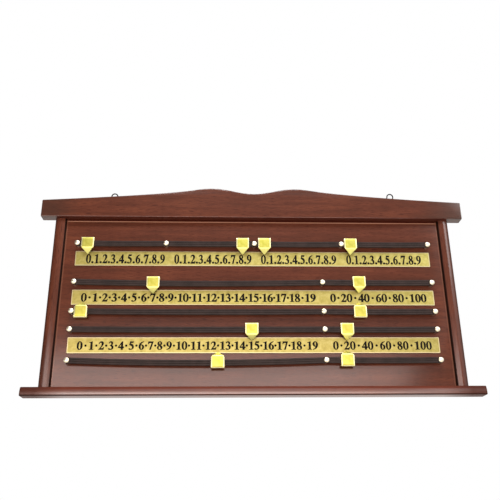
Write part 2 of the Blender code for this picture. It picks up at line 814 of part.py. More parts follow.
def build_screw(name, empty, steel, rise):
    """Slotted round-head screw through the strap into the header."""
    drop = rise + strap_screw_drop
    base = fit_gap + strap_thickness + fit_gap
    dome = []
    for k in range(screw_dome_steps):
        angle = math.pi / 2 * k / screw_dome_steps
        dome.append((screw_head_radius * math.cos(angle), base + screw_head_height * math.sin(angle)))
    profile = [(0, -screw_length), (screw_shank_radius, -screw_length + 2 * screw_shank_radius),
               (screw_shank_radius, base), *dome, (0, base + screw_head_height)]
    bm = bmesh.new()
    turned(bm, profile, screw_sides, axis=(0, 1, 0))
    mesh = finish_mesh(bm, name, steel, smooth_angle)
    screw = add_object(name, mesh, empty, place=(0, 0, -drop))
    top = base + screw_head_height
    slot = bmesh.new()
    add_box(slot, (-2 * screw_head_radius, top - screw_slot_depth, -drop - screw_slot_width / 2),
            (2 * screw_head_radius, top + bore_overrun, -drop + screw_slot_width / 2))
    cut_with(screw, finish_mesh(slot, name + "_slot"), name + "_slot", empty)


def build_hangers(root, steel):
    for side, sign in (("left", -1), ("right", 1)):
        x, z = hanger_place(side, sign)
        rise = hanger_rises[side]
        empty = add_empty("hanger_" + side, root, place=(x, 0, z), turn=(0, hanger_turns[side], 0))
        build_strap("hanger_strap_" + side, empty, steel, rise)
        build_ring("hanger_ring_" + side, empty, steel)
        build_screw("hanger_screw_" + side, empty, steel, rise)


def main():
    clear_scene()
    frame_wood = make_material("mahogany_frame", (0.16, 0.045, 0.03), 0.35, 0.0)
    panel_wood = make_material("mahogany_panel", (0.15, 0.04, 0.028), 0.4, 0.0)
    beech = make_material("beech_dowel", (0.55, 0.38, 0.2), 0.7, 0.0)
    plate_brass = make_material("etched_brass", (0.62, 0.5, 0.2), 0.35, 1.0)
    pointer_brass = make_material("polished_brass", (0.85, 0.68, 0.2), 0.2, 1.0)
    stud_brass = make_material("turned_brass", (0.9, 0.78, 0.45), 0.25, 1.0)
    rubber = make_material("black_rubber", (0.03, 0.027, 0.026), 0.6, 0.0)
    steel = make_material("blackened_steel", (0.06, 0.06, 0.06), 0.45, 1.0)
    pin_steel = make_material("bright_steel", (0.5, 0.5, 0.5), 0.35, 1.0)
    root = add_empty("board_base", place=(0, 0, -overall_height / 2))
    build_header(root, frame_wood)
    build_sill(root, frame_wood)
    build_stiles(root, frame_wood)
    build_dowels(root, beech)
    build_panel(root, panel_wood)
    build_panel_pins(root, pin_steel)
    build_plates(root, plate_brass)
    build_strips(root, rubber)
    build_studs(root, stud_brass)
    build_pointers(root, pointer_brass)
    build_hangers(root, steel)


main()
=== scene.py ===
# %% [markdown]
# # A billiard scoreboard, dressed for the camera
#
# The board is a lacquered mahogany frame that hangs on a wall. Brass pointers slide along black
# rubber runners and point at numbers on three brass plates. The solid parts come in from the
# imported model, already in metres and in the right place. This lesson gives them their finish and
# builds the fine pieces again, rounder and smoother, exactly where the solid ones stand.

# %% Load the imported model
import json
import math

import bmesh
import bpy
from mathutils import Matrix, Vector


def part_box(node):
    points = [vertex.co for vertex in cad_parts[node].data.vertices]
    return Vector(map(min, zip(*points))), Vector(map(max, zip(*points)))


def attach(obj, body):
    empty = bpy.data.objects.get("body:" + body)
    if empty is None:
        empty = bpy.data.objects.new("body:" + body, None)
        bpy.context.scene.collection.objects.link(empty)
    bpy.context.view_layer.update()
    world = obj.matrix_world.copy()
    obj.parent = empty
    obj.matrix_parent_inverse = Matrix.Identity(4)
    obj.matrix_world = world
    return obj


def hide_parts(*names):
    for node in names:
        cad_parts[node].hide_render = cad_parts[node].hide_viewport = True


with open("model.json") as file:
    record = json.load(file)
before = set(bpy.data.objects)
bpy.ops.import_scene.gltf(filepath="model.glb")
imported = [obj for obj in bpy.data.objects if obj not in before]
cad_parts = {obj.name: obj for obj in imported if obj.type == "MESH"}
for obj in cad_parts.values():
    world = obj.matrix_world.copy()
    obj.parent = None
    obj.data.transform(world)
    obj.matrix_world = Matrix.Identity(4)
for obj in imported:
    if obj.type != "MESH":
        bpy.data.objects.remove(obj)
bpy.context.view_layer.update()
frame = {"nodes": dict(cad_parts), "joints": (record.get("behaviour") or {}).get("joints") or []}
nodes = frame["nodes"]
mm = 0.001

# %% [markdown]
# ## Helpers for colour and for shader nodes
#
# A colour given on a screen is an sRGB value, while a shader wants a linear one, so one
# function converts between them. Another adds a shader node, makes its settings, fills or links its
# sockets and sets the stops of a colour ramp, which keeps each material to a few readable lines. The
# Principled shader comes with the empty material, so it gets its sockets from the same plug.

# %% Colour and node helpers
def linear(hex_colour):
    """An sRGB hex colour as linear RGBA."""
    channels = [int(hex_colour[k:k + 2], 16) / 255 for k in (1, 3, 5)]
    curve = [c / 12.92 if c <= 0.04045 else ((c + 0.055) / 1.055) ** 2.4 for c in channels]
    return (*curve, 1.0)


def plug(tree, node, sockets):
    """Fill a node's sockets with values, or link other nodes' sockets to them."""
    for name, value in sockets.items():
        if isinstance(value, bpy.types.NodeSocket):
            tree.links.new(value, node.inputs[name])
        else:
            node.inputs[name].default_value = value


def add(tree, kind, sockets=None, stops=(), **settings):
    """A node with its settings, its sockets, and the (place, hex colour) stops of a ramp."""
    made = tree.nodes.new(kind)
    for name, value in settings.items():
        setattr(made, name, value)
    plug(tree, made, sockets or {})
    if stops:
        elements = made.color_ramp.elements
        while len(elements) < len(stops):
            elements.new(0.5)
        for element, (place, colour) in zip(elements, stops):
            element.position = place
            element.color = linear(colour)
    return made


def new_material(name):
    """A material with an empty tree, its Principled shader and its output."""
    material = bpy.data.materials.new(name)
    material.use_nodes = True
    tree = material.node_tree
    tree.nodes.clear()
    shader = add(tree, "ShaderNodeBsdfPrincipled")
    add(tree, "ShaderNodeOutputMaterial", {"Surface": shader.outputs["BSDF"]})
    return material, tree, shader


print("helpers ready; mid grey in linear light:", round(linear("#808080")[0], 3))

# %% [markdown]
# ## Mahogany under satin lacquer
#
# The frame and the panel are mahogany, stained dark red and sprayed with satin lacquer. The eye
# reads three things: ribbons of lighter and darker stain a few millimetres wide that follow the
# board, short dark pores, and a soft clear reflection over everything. A noise pattern stretched
# along the grain gives the first two. A coat layer gives the third, and it is the coat that turns
# the wood pale where the surface is seen at a low angle, so the wood under it shines very little.
# Painted shade and painted highlights are masks that mix in a second colour, and a mask may
# take the coat away as well, where the lacquer is worn.

# %% Sizes of the grain
ribbon_width = 7.0 * mm
ribbon_stretch = 14
figure_width = 55.0 * mm
figure_share = 0.35
stain_tones = ((0.32, "#4B2617"), (0.46, "#562B1B"), (0.56, "#5E301F"), (0.70, "#683723"))
pore_width = 0.55 * mm       # real pores are finer; this is as coarse as they need to be to show
pore_stretch = 22
pore_colour = "#3E190F"
pore_tones = ((0.34, "#000000"), (0.44, "#FFFFFF"))
pore_depth = 0.1 * mm
pore_relief = 0.10


def drawn_out(along, stretch):
    """A scale that draws a pattern out along one axis."""
    return [1 / stretch if axis == along else 1 for axis in "xyz"]


print("mahogany: ribbons", round(ribbon_width / mm, 1), "mm wide, pores", round(pore_width / mm, 2), "mm")

# %% Edges of painted light and worn lacquer
full_coat = 1.0


# Each edge mask paints shade or a highlight into the colour, and some also take the coat off.
def worn_edges(tree, place, colour, edges):
    """Mix in each (mask, colour, strength, share of coat left), and give colour and coat."""
    coat = full_coat
    for edge_mask, edge_colour, strength, coat_left in edges:
        mask = edge_mask(tree, place)
        share = add(tree, "ShaderNodeMath", {0: mask, 1: strength}, operation="MULTIPLY")
        colour = add(tree, "ShaderNodeMix", {"Factor": share.outputs[0], "A": colour,
                                             "B": linear(edge_colour)}, data_type="RGBA").outputs["Result"]
        if coat_left < full_coat:
            left = add(tree, "ShaderNodeMapRange",
                       {"Value": mask, "To Min": full_coat, "To Max": coat_left}).outputs["Result"]
            coat = left if coat == full_coat else add(
                tree, "ShaderNodeMath", {0: coat, 1: left}, operation="MULTIPLY").outputs[0]
    return colour, coat


print("an edge leaves a share of the coat, up to", full_coat)

# %% Mahogany shader
wood_roughness = 0.5
wood_ior = 1.5
wood_sheen = 0.1


def mahogany(name, along, edges, shade=1.0, coat_roughness=0.16, coat_ior=1.5):
    """Stained and lacquered mahogany with its grain along one axis, its painted shade and highlights and its
    worn lacquer.
    """
    material, tree, shader = new_material(name)
    place = add(tree, "ShaderNodeTexCoord").outputs["Object"]
    ribbon_place = add(tree, "ShaderNodeMapping",
                       {"Vector": place, "Scale": drawn_out(along, ribbon_stretch)})
    pore_place = add(tree, "ShaderNodeMapping",
                     {"Vector": place, "Scale": drawn_out(along, pore_stretch)})
    ribbons = add(tree, "ShaderNodeTexNoise",
                  {"Vector": ribbon_place.outputs[0], "Scale": 1 / ribbon_width, "Detail": 5.0,
                   "Roughness": 0.55, "Distortion": 0.35})
    figure = add(tree, "ShaderNodeTexNoise",
                 {"Vector": place, "Scale": 1 / figure_width, "Detail": 2.0, "Roughness": 0.5})
    pores = add(tree, "ShaderNodeTexNoise",
                {"Vector": pore_place.outputs[0], "Scale": 1 / pore_width, "Detail": 2.0,
                 "Roughness": 0.5})
    grain = add(tree, "ShaderNodeMix", {"Factor": figure_share, "A": ribbons.outputs["Fac"],
                                        "B": figure.outputs["Fac"]})
    stain = add(tree, "ShaderNodeValToRGB", {"Fac": grain.outputs[0]}, stain_tones)
    open_wood = add(tree, "ShaderNodeValToRGB", {"Fac": pores.outputs["Fac"]}, pore_tones)
    darkened = add(tree, "ShaderNodeMix", {"Factor": open_wood.outputs["Color"], "A": linear(pore_colour),
                                           "B": stain.outputs["Color"]}, data_type="RGBA")
    shaded = add(tree, "ShaderNodeHueSaturation", {"Color": darkened.outputs["Result"], "Value": shade})
    relief = add(tree, "ShaderNodeBump", {"Height": open_wood.outputs["Color"], "Strength": pore_relief,
                                          "Distance": pore_depth})
    colour, coat = worn_edges(tree, place, shaded.outputs["Color"], edges)
    shader.inputs["Coat Weight"].default_value = full_coat     # for a viewer that can't read the masks
    plug(tree, shader, {"Base Color": colour, "Roughness": wood_roughness, "IOR": wood_ior,
                        "Specular IOR Level": wood_sheen, "Normal": relief.outputs["Normal"],
                        "Coat Weight": coat, "Coat Roughness": coat_roughness, "Coat IOR": coat_ior})
    return material


print("mahogany: IOR", wood_ior, "and roughness", wood_roughness, "under the coat")

# %% [markdown]
# ## Where shade and highlights are painted
#
# The header and the sill are painted darker towards their ends, as painted shade. These are
# changes of colour on one smooth board, so they are masks in the material and not shapes. The
# first kind of mask turns white past a limit on both sides of a middle, softly or at once, and
# serves the rims of the brass pieces later on.

# %% Masks for ends and rims
# The ends of the header and the sill are painted darker over this length and its fade, as painted shade.
end_shade_length = 22 * mm
end_shade_fade = 45 * mm
least_fade = 0.01 * mm


def border_mask(tree, place, limits, fade=0.0):
    """White where a coordinate lies farther from its middle than its limit, after a soft fade."""
    split = add(tree, "ShaderNodeSeparateXYZ", {"Vector": place})
    mask = None
    for axis, middle, limit in limits:
        centred = add(tree, "ShaderNodeMath", {0: split.outputs[axis], 1: middle}, operation="SUBTRACT")
        spread = add(tree, "ShaderNodeMath", {0: centred.outputs[0]}, operation="ABSOLUTE")
        past = add(tree, "ShaderNodeMapRange", {"Value": spread.outputs[0], "From Min": limit - fade,
                                                "From Max": limit + least_fade}).outputs["Result"]
        mask = past if mask is None else add(tree, "ShaderNodeMath", {0: mask, 1: past},
                                             operation="MAXIMUM").outputs[0]
    return mask


def near_ends_of(board):
    """A mask for the two ends of a long board."""
    middle_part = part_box(board)[1].x - end_shade_length
    return lambda tree, place: border_mask(tree, place, [("X", 0, middle_part)], end_shade_fade)


print("end grain darkens over the last", round((end_shade_length + end_shade_fade) / mm), "mm")

# %% [markdown]
# ## Lines of painted shade, painted highlight and wear
#
# Other marks follow the joints. The stiles' outer arris is painted darker as shade, and its lacquer
# thins there. The corners beside the stiles and under the header are painted dark as shade, and the
# panel's chamfer next to them carries a painted highlight. The sill's upper front and its lower
# arris have lost their lacquer and are painted darker as shade. Such a line is narrow and has a place
# that can be measured, so this kind of mask has its stops in millimetres along one axis. The back of
# the board stays plain, because there the same lines would fall on the panel's tongue.

# %% Masks for lines along the joints
black, grey, white = "#000000", "#808080", "#FFFFFF"
tongue = 6.0 * mm
tongue_front = -3.3 * mm
joint_reach = 10 * mm        # how far inside the joint a stretch of stops begins
stile_low, stile_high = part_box("right_stile")
header_low, header_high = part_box("header_board")
sill_low, sill_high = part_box("sill_board")
panel_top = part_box("back_panel")[1].z - tongue


def line_mask(axis, low, high, stops, mirrored=False):
    """A mask of grey levels along one axis, with their places in mm from the low end."""
    def mask(tree, place):
        distance = add(tree, "ShaderNodeSeparateXYZ", {"Vector": place}).outputs[axis]
        if mirrored:
            distance = add(tree, "ShaderNodeMath", {0: distance}, operation="ABSOLUTE").outputs[0]
        share = add(tree, "ShaderNodeMapRange", {"Value": distance, "From Min": low, "From Max": high})
        shares = [(spot * mm / (high - low), level) for spot, level in stops]
        return add(tree, "ShaderNodeValToRGB", {"Fac": share.outputs["Result"]}, shares).outputs["Color"]
    return mask


def in_front(tree, place):
    """White in front of the panel's tongue, black behind it."""
    depth = add(tree, "ShaderNodeSeparateXYZ", {"Vector": place}).outputs["Y"]
    return add(tree, "ShaderNodeMath", {0: depth, 1: tongue_front}, operation="LESS_THAN").outputs[0]


def where_both(first, second):
    """A mask that is white only where two others are."""
    return lambda tree, place: add(tree, "ShaderNodeMath", {0: first(tree, place), 1: second(tree, place)},
                                   operation="MULTIPLY").outputs[0]


def by_stile(*stops):
    """Lines on both sides of the board, from just inside a stile to its outer face."""
    return line_mask("X", stile_low.x - joint_reach, stile_high.x, stops, mirrored=True)


def by_header(*stops):
    """Lines at the top of the panel, from a little below the header to the panel's edge behind it."""
    return where_both(line_mask("Z", panel_top - joint_reach, panel_top + tongue, stops), in_front)


print("stiles from", round(stile_low.x / mm, 1), "to", round(stile_high.x / mm, 1), "mm from the middle")

# %% The lines of this board
# The stiles' outer arris is painted darker, as painted shade, and its lacquer is thinned.
outer_arris_shade = by_stile((0.0, black), (18.5, black), (22.5, grey), (25.0, white))
# The stiles' inner faces and the panel beside them are painted near black, as painted shade.
painted_joint_shade = where_both(by_stile((0.0, black), (8.6, black), (9.3, white), (10.5, white), (11.4, black)),
                         in_front)
# A pale strip on the panel beside each stile is a painted highlight.
painted_side_highlight = where_both(by_stile((0.0, black), (6.6, black), (7.0, white)), in_front)
# A pale line on the panel's top chamfer, under the header, is a painted highlight.
painted_top_highlight = by_header((0.0, black), (5.6, black), (6.1, white), (7.4, white), (7.9, black))
# The panel's top under the header is painted dark, as painted shade.
painted_top_shade = by_header((0.0, black), (7.4, black), (7.9, white))
# The header's lowest edge and its underside between the stiles are painted dark, as painted shade.
low_edge = line_mask("Z", header_low.z, header_high.z, ((0.0, white), (0.3, white), (0.9, black)))
header_underside_shade = where_both(low_edge, by_stile((0.0, white), (23.5, white), (24.0, black)))
# The sill's upper front loses its coat and is painted darker, as painted shade.
bare_and_shaded_front = line_mask("Z", sill_low.z, sill_high.z, ((0.0, black), (6.0, black), (10.5, white)))
# The sill's lower arris loses its coat and is painted dark, as painted shade.
bare_and_shaded_arris = line_mask("Z", sill_low.z, sill_high.z, ((0.0, black), (0.1, white), (1.3, white), (2.6, black)))
print("the panel shows up to z =", round(panel_top / mm, 1), "mm, under the header")

# %% [markdown]
# ## Four finishes from one recipe
#
# The boards are cut from one wood and differ in the run of their grain, the depth of the stain,
# their worn lacquer and their painted shade and highlights. A copy of the shader for each board
# would be easy to make and hard to keep alike, so one function takes what differs. The sill is a
# paler copy of the stain; its upper front and lower arris are painted darker, so its paler middle is
# a painted highlight. That middle carries many polished layers of wax, and a high coat IOR stands
# for them, since it mirrors more at every angle.

# %% Four mahogany finishes
# Painted shade on the header: darker ends, and a dark underside between the stiles.
mahogany_boards = mahogany("stained_mahogany_long_grain", "x",
                           [(near_ends_of("header_board"), "#35271F", 0.5, 1.0),
                            (header_underside_shade, "#44160E", 0.62, 0.2)])
mahogany_stiles = mahogany("stained_mahogany_upright_grain", "z",
                           [(outer_arris_shade, "#2A140D", 0.6, 0.2),
                            (painted_joint_shade, "#120906", 0.9, 0.0)])
mahogany_panel = mahogany("stained_mahogany_panel", "x",
                          [(painted_top_highlight, "#B98A70", 0.8, 1.0),
                           (painted_top_shade, "#42140C", 0.85, 0.0),
                           (painted_side_highlight, "#8A5A45", 0.5, 1.0),
                           (painted_joint_shade, "#120906", 0.9, 0.0)], shade=1.04)
# Painted light on the sill: a paler copy of the stain whose middle is left as a painted highlight, with
# painted shade on its upper front, its ends and its lower arris.
mahogany_sill = mahogany("stained_mahogany_worn_sill", "x",
                         [(bare_and_shaded_front, "#5E2617", 0.6, 0.0),
                          (near_ends_of("sill_board"), "#3A1C15", 0.7, 0.15),
                          (bare_and_shaded_arris, "#230E08", 0.8, 0.0)],
                         shade=1.35, coat_roughness=0.3, coat_ior=2.2)
print("woods:", mahogany_boards.name, mahogany_stiles.name, mahogany_panel.name, mahogany_sill.name)

# %% [markdown]
# ## Beech dowels
#
# Dowels are turned from pale beech and left raw. Short brown flecks run along them, so the noise is
# stretched along the dowel, and there is no coat.

# %% Beech
fleck_width = 0.5 * mm
fleck_stretch = 5
beech_tones = ((0.35, "#A87B4C"), (0.6, "#CDA777"))


def raw_beech():
    """Pale raw wood with short flecks along the dowel."""
    material, tree, shader = new_material("raw_turned_beech")
    place = add(tree, "ShaderNodeTexCoord").outputs["Object"]
    along = add(tree, "ShaderNodeMapping", {"Vector": place, "Scale": drawn_out("z", fleck_stretch)})
    flecks = add(tree, "ShaderNodeTexNoise", {"Vector": along.outputs[0], "Scale": 1 / fleck_width,
                                              "Detail": 2.0})
    tone = add(tree, "ShaderNodeValToRGB", {"Fac": flecks.outputs["Fac"]}, beech_tones)
    plug(tree, shader, {"Base Color": tone.outputs["Color"], "Roughness": 0.7})
    return material


beech = raw_beech()
print("dowels:", beech.name)

# %% [markdown]
# ## Brushed brass
#
# The number plates are sheet brass that is brushed lengthwise and lacquered. Brushing leaves hair
# lines, drawn a quarter of a millimetre apart so that they show, which spread the reflection along
# the plate. The lacquer has aged to soft blotches. Each plate is painted lighter or darker as a
# whole, as painted light, and a pale rim is a painted highlight round its edge. An anisotropic
# shader could stand for the brushing, but hair lines in the roughness and the relief show up close
# as well. The metal keeps its default IOR.

# %% Brushed brass for the number plates
brush_line = 0.25 * mm
brush_stretch = 60
brush_roughness = (0.3, 0.46)
brush_relief = 0.05
brush_depth = 0.1 * mm
blotch_width = 9.0 * mm
blotch_tones = ((0.32, "#A2964E"), (0.5, "#B5AA5E"), (0.66, "#C2B870"))
# The pale rim is a painted highlight.
rim_highlight_width = 1.4 * mm
rim_highlight_colour = "#DCD0A0"
lacquer_weight = 0.3
lacquer_roughness = 0.3
plate_low, plate_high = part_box("number_plate_top")
plate_size = plate_high - plate_low


def brushed_brass(name, shade):
    """Brushed brass under old lacquer, painted lighter or darker by its shade, with a painted highlight round
    its rim.
    """
    material, tree, shader = new_material(name)
    place = add(tree, "ShaderNodeTexCoord").outputs["Object"]
    along = add(tree, "ShaderNodeMapping", {"Vector": place, "Scale": drawn_out("x", brush_stretch)})
    hairs = add(tree, "ShaderNodeTexNoise", {"Vector": along.outputs[0], "Scale": 1 / brush_line,
                                             "Detail": 3.0})
    blotches = add(tree, "ShaderNodeTexNoise", {"Vector": place, "Scale": 1 / blotch_width,
                                                "Detail": 4.0, "Roughness": 0.65})
    tone = add(tree, "ShaderNodeValToRGB", {"Fac": blotches.outputs["Fac"]}, blotch_tones)
    plate_lit_tone = add(tree, "ShaderNodeHueSaturation", {"Color": tone.outputs["Color"], "Value": shade})
    rim = border_mask(tree, place, [("X", 0, plate_size.x / 2 - rim_highlight_width),
                                    ("Z", 0, plate_size.z / 2 - rim_highlight_width)])
    rimmed = add(tree, "ShaderNodeMix", {"Factor": rim, "A": plate_lit_tone.outputs["Color"],
                                         "B": linear(rim_highlight_colour)}, data_type="RGBA")
    gloss = add(tree, "ShaderNodeMapRange", {"Value": hairs.outputs["Fac"], "To Min": brush_roughness[0],
                                             "To Max": brush_roughness[1]})
    relief = add(tree, "ShaderNodeBump", {"Height": hairs.outputs["Fac"], "Strength": brush_relief,
                                          "Distance": brush_depth})
    plug(tree, shader, {"Base Color": rimmed.outputs["Result"], "Metallic": 1.0,
                        "Roughness": gloss.outputs["Result"], "Normal": relief.outputs["Normal"],
                        "Coat Weight": lacquer_weight, "Coat Roughness": lacquer_roughness})
    return material


# Each plate's brightness is painted light: lightest on the top plate, darkest on the bottom one.
plate_painted_light = {"top": 1.16, "middle": 1.08, "bottom": 0.9}
plate_brass = {row: brushed_brass("brushed_lacquered_brass_" + row, shade)
               for row, shade in plate_painted_light.items()}
print("plates:", list(plate_brass), "brush lines in mm:", round(brush_line / mm, 2))

# %% [markdown]
# ## Polished, sheared and turned brass
#
# The pointers are pressed from thin sheet and polished. Their borders and bent tips carry painted
# highlights, and their sheared edges are painted dark as shade. The studs are turned on a lathe from
# a paler brass. Metal has no colour but that of its reflections, so colour and roughness tell the
# three apart, and a faint ripple bends the reflections as on any thin sheet. The painted highlights
# are masks in the pointer's own coordinates, which start in the middle of the strip that it rides on.

# %% Polished brass for the pointers and turned brass for the studs
ripple_width = 5.0 * mm
ripple_depth = 0.3 * mm
drift_places = (0.3, 0.65)


def polished_brass(name, dark, pale, roughness, ripple, painted_highlights=()):
    """Polished brass with a slight drift of colour, a faint ripple and perhaps painted highlights."""
    material, tree, shader = new_material(name)
    place = add(tree, "ShaderNodeTexCoord").outputs["Object"]
    drift = add(tree, "ShaderNodeTexNoise", {"Vector": place, "Scale": 1 / ripple_width, "Detail": 3.0})
    tone = add(tree, "ShaderNodeValToRGB", {"Fac": drift.outputs["Fac"]},
               list(zip(drift_places, (dark, pale)))).outputs["Color"]
    for limits, highlight_colour in painted_highlights:
        tone = add(tree, "ShaderNodeMix", {"Factor": border_mask(tree, place, limits), "A": tone,
                                           "B": linear(highlight_colour)}, data_type="RGBA").outputs["Result"]
    relief = add(tree, "ShaderNodeBump", {"Height": drift.outputs["Fac"], "Strength": ripple,
                                          "Distance": ripple_depth})
    plug(tree, shader, {"Base Color": tone, "Metallic": 1.0, "Roughness": roughness,
                        "Normal": relief.outputs["Normal"]})
    return material


far_off = 50 * mm            # a middle so far off that only one side of the pointer passes the limit
highlight_side = 8.4 * mm
highlight_fold = 8.3 * mm
tip_start = 8.2 * mm
# The pale border and the pale bent tip are painted highlights.
border_highlight = [("X", 0, highlight_side), ("Z", -far_off, far_off + highlight_fold)]
bent_tip = [("Z", far_off, far_off + tip_start)]
pointer_brass = polished_brass("polished_sheet_brass", "#C4BF4E", "#D4CF66", 0.4, 0.15,
                               ((border_highlight, "#F4EEB4"), (bent_tip, "#F8F392")))
# The sheared edge's dark brass is painted shade.
edge_shade_brass = polished_brass("sheared_dull_brass", "#42390F", "#5C501B", 0.5, 0.15)
stud_brass = polished_brass("turned_pale_brass", "#F5EACB", "#FFF9E6", 0.32, 0.1)
print("pointers and studs:", pointer_brass.name, edge_shade_brass.name, stud_brass.name)

# %% [markdown]
# ## Rubber
#
# The runners are extruded black rubber: matt, slightly brown, with a bloom of dust that lightens
# it unevenly. A second noise, as fine as talc, roughens the skin. Pure black would look like a hole,
# because real rubber never is, so both tones are dark browns.

# %% Rubber
bloom_width = 14.0 * mm
bloom_tones = ((0.35, "#241B18"), (0.65, "#322623"))
talc_width = 0.4 * mm
talc_depth = 0.05 * mm
talc_relief = 0.15


def extruded_rubber():
    """Matt rubber with a bloom of dust and a fine grain."""
    material, tree, shader = new_material("extruded_black_rubber")
    place = add(tree, "ShaderNodeTexCoord").outputs["Object"]
    bloom = add(tree, "ShaderNodeTexNoise", {"Vector": place, "Scale": 1 / bloom_width, "Detail": 4.0})
    tone = add(tree, "ShaderNodeValToRGB", {"Fac": bloom.outputs["Fac"]}, bloom_tones)
    talc = add(tree, "ShaderNodeTexNoise", {"Vector": place, "Scale": 1 / talc_width, "Detail": 2.0})
    relief = add(tree, "ShaderNodeBump", {"Height": talc.outputs["Fac"], "Strength": talc_relief,
                                          "Distance": talc_depth})
    plug(tree, shader, {"Base Color": tone.outputs["Color"], "Roughness": 0.6,
                        "Specular IOR Level": 0.25, "Normal": relief.outputs["Normal"]})
    return material


rubber = extruded_rubber()
print("runners:", rubber.name)

# %% [markdown]
# ## Steel and enamel
#
# The hangers are blackened steel and the panel pins bright drawn wire. The numbers are filled with
# black enamel that has gone matt, so that no highlight breaks them up. All three are plain surfaces
# with a slight mottle, which one function can make from its width and its two tones.

# %% Steel and enamel
def mottled(name, patch_width, detail, tones, sockets):
    """A material whose colour drifts between two tones in patches of one width."""
    material, tree, shader = new_material(name)
    place = add(tree, "ShaderNodeTexCoord").outputs["Object"]
    patches = add(tree, "ShaderNodeTexNoise", {"Vector": place, "Scale": 1 / patch_width,
                                               "Detail": detail})
    tone = add(tree, "ShaderNodeValToRGB", {"Fac": patches.outputs["Fac"]}, tones)
    plug(tree, shader, {"Base Color": tone.outputs["Color"], **sockets})
    return material


steel_mottle = 3 * mm
enamel_mottle = 4 * mm
hanger_steel = mottled("blackened_steel", steel_mottle, 4.0, ((0.35, "#161618"), (0.65, "#2C2C2F")),
                       {"Metallic": 1.0, "Roughness": 0.42})
pin_steel = mottled("bright_drawn_steel", steel_mottle, 4.0, ((0.35, "#9B9B9D"), (0.65, "#BDBDC0")),
                    {"Metallic": 1.0, "Roughness": 0.35})
enamel = mottled("black_filled_enamel", enamel_mottle, 3.0, ((0.35, "#080503"), (0.7, "#120C07")),
                 {"Roughness": 0.55, "Specular IOR Level": 0.1})
print("also:", hanger_steel.name, pin_steel.name, enamel.name)

# %% [markdown]
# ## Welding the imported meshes
#
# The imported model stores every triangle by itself, so its edges can't be shaded as one surface. A
# small geometry-nodes modifier welds the triangles and marks every edge sharper than 35 degrees.
# Editing the mesh would do the same once, but a modifier leaves the mesh underneath as it is.

# %% Weld and shade modifier
sharp_angle = math.radians(35)
weld_distance = 0.01 * mm


def welding_group():
    """Geometry nodes that merge split triangles and shade them smooth below the sharp angle."""
    group = bpy.data.node_groups.new("weld_and_shade", "GeometryNodeTree")
    for side in ("INPUT", "OUTPUT"):
        group.interface.new_socket("Geometry", in_out=side, socket_type="NodeSocketGeometry")
    source = add(group, "NodeGroupInput")
    welded = add(group, "GeometryNodeMergeByDistance",
                 {"Geometry": source.outputs[0], "Distance": weld_distance})
    bare = add(group, "GeometryNodeRemoveAttribute",
               {"Geometry": welded.outputs[0], "Name": "custom_normal"})
    angle = add(group, "GeometryNodeInputMeshEdgeAngle")
    flat_enough = add(group, "ShaderNodeMath",
                      {0: angle.outputs["Unsigned Angle"], 1: sharp_angle}, operation="LESS_THAN")
    faces = add(group, "GeometryNodeSetShadeSmooth",
                {"Geometry": bare.outputs[0], "Shade Smooth": True}, domain="FACE")
    edges = add(group, "GeometryNodeSetShadeSmooth",
                {"Geometry": faces.outputs[0], "Shade Smooth": flat_enough.outputs[0]}, domain="EDGE")
    add(group, "NodeGroupOutput", {"Geometry": edges.outputs[0]})
    return group


weld_and_shade = welding_group()
print("modifier nodes:", len(weld_and_shade.nodes))

# %% [markdown]
# ## Dress the boards
#
# Boards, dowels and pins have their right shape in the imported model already, so they only change
# their finish. A Weighted Normal modifier keeps the broad faces flat beside their eased arrises.

# %% Boards, dowels and pins
def dress(name, material):
    """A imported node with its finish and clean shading."""
    node = nodes[name]
    if node.data.materials:
        node.material_slots[0].material = material
    else:
        node.data.materials.append(material)
    shade = node.modifiers.new("weld_and_shade", "NODES")
    shade.node_group = weld_and_shade
    weighted = node.modifiers.new("weighted_normal", "WEIGHTED_NORMAL")
    weighted.keep_sharp = True


finishes = {"header_board": mahogany_boards, "sill_board": mahogany_sill, "left_stile": mahogany_stiles,
            "right_stile": mahogany_stiles, "back_panel": mahogany_panel}
finishes |= {name: beech for name in nodes if "dowel" in name}
finishes |= {name: pin_steel for name in nodes if name.startswith("panel_pin")}
for name, material in finishes.items():
    dress(name, material)
print("dressed", len(finishes), "boards, dowels and pins")

# %% [markdown]
# ## Tools for new meshes
#
# Fine pieces are made again with more segments than the solid ones need. Each is a list of rings
# of points: a loft closes the rings into a solid, and a turned piece is a loft whose rings are
# circles. Every new piece says which body it rides on and which solid it stands for, and that solid
# is hidden.

# %% Rings and arcs
def loft(bm, rings, closed=False):
    """Skin rings of equal count; the ends are capped unless the rings close on themselves."""
    layers = [[bm.verts.new(point) for point in ring] for ring in rings]
    pairs = list(zip(layers, layers[1:]))
    if closed:
        pairs.append((layers[-1], layers[0]))
    for lower, upper in pairs:
        for k in range(len(lower)):
            m = (k + 1) % len(lower)
            bm.faces.new((lower[k], lower[m], upper[m], upper[k]))
    if not closed:
        bm.faces.new(list(reversed(layers[0])))
        bm.faces.new(layers[-1])


def arc(centre, radius, start, end, steps):
    """Points of an arc in degrees, both ends included."""
    points = []
    for k in range(steps + 1):
        angle = math.radians(start + (end - start) * k / steps)
        points.append((centre[0] + radius * math.cos(angle), centre[1] + radius * math.sin(angle)))
    return points


print("a quarter of a circle in three steps:", [round(x, 2) for x, _ in arc((0, 0), 1, 0, 90, 3)])

# %% Meshes and pieces
merge_distance = 0.001 * mm


def finished_mesh(bm, name, material):
    """A smooth-shaded mesh with its faces pointing out."""
    bmesh.ops.remove_doubles(bm, verts=bm.verts, dist=merge_distance)
    bmesh.ops.recalc_face_normals(bm, faces=bm.faces)
    mesh = bpy.data.meshes.new(name)
    bm.to_mesh(mesh)
    bm.free()
    mesh.materials.append(material)
    mesh.shade_smooth()
    mesh.set_sharp_from_angle(angle=sharp_angle)
    return mesh


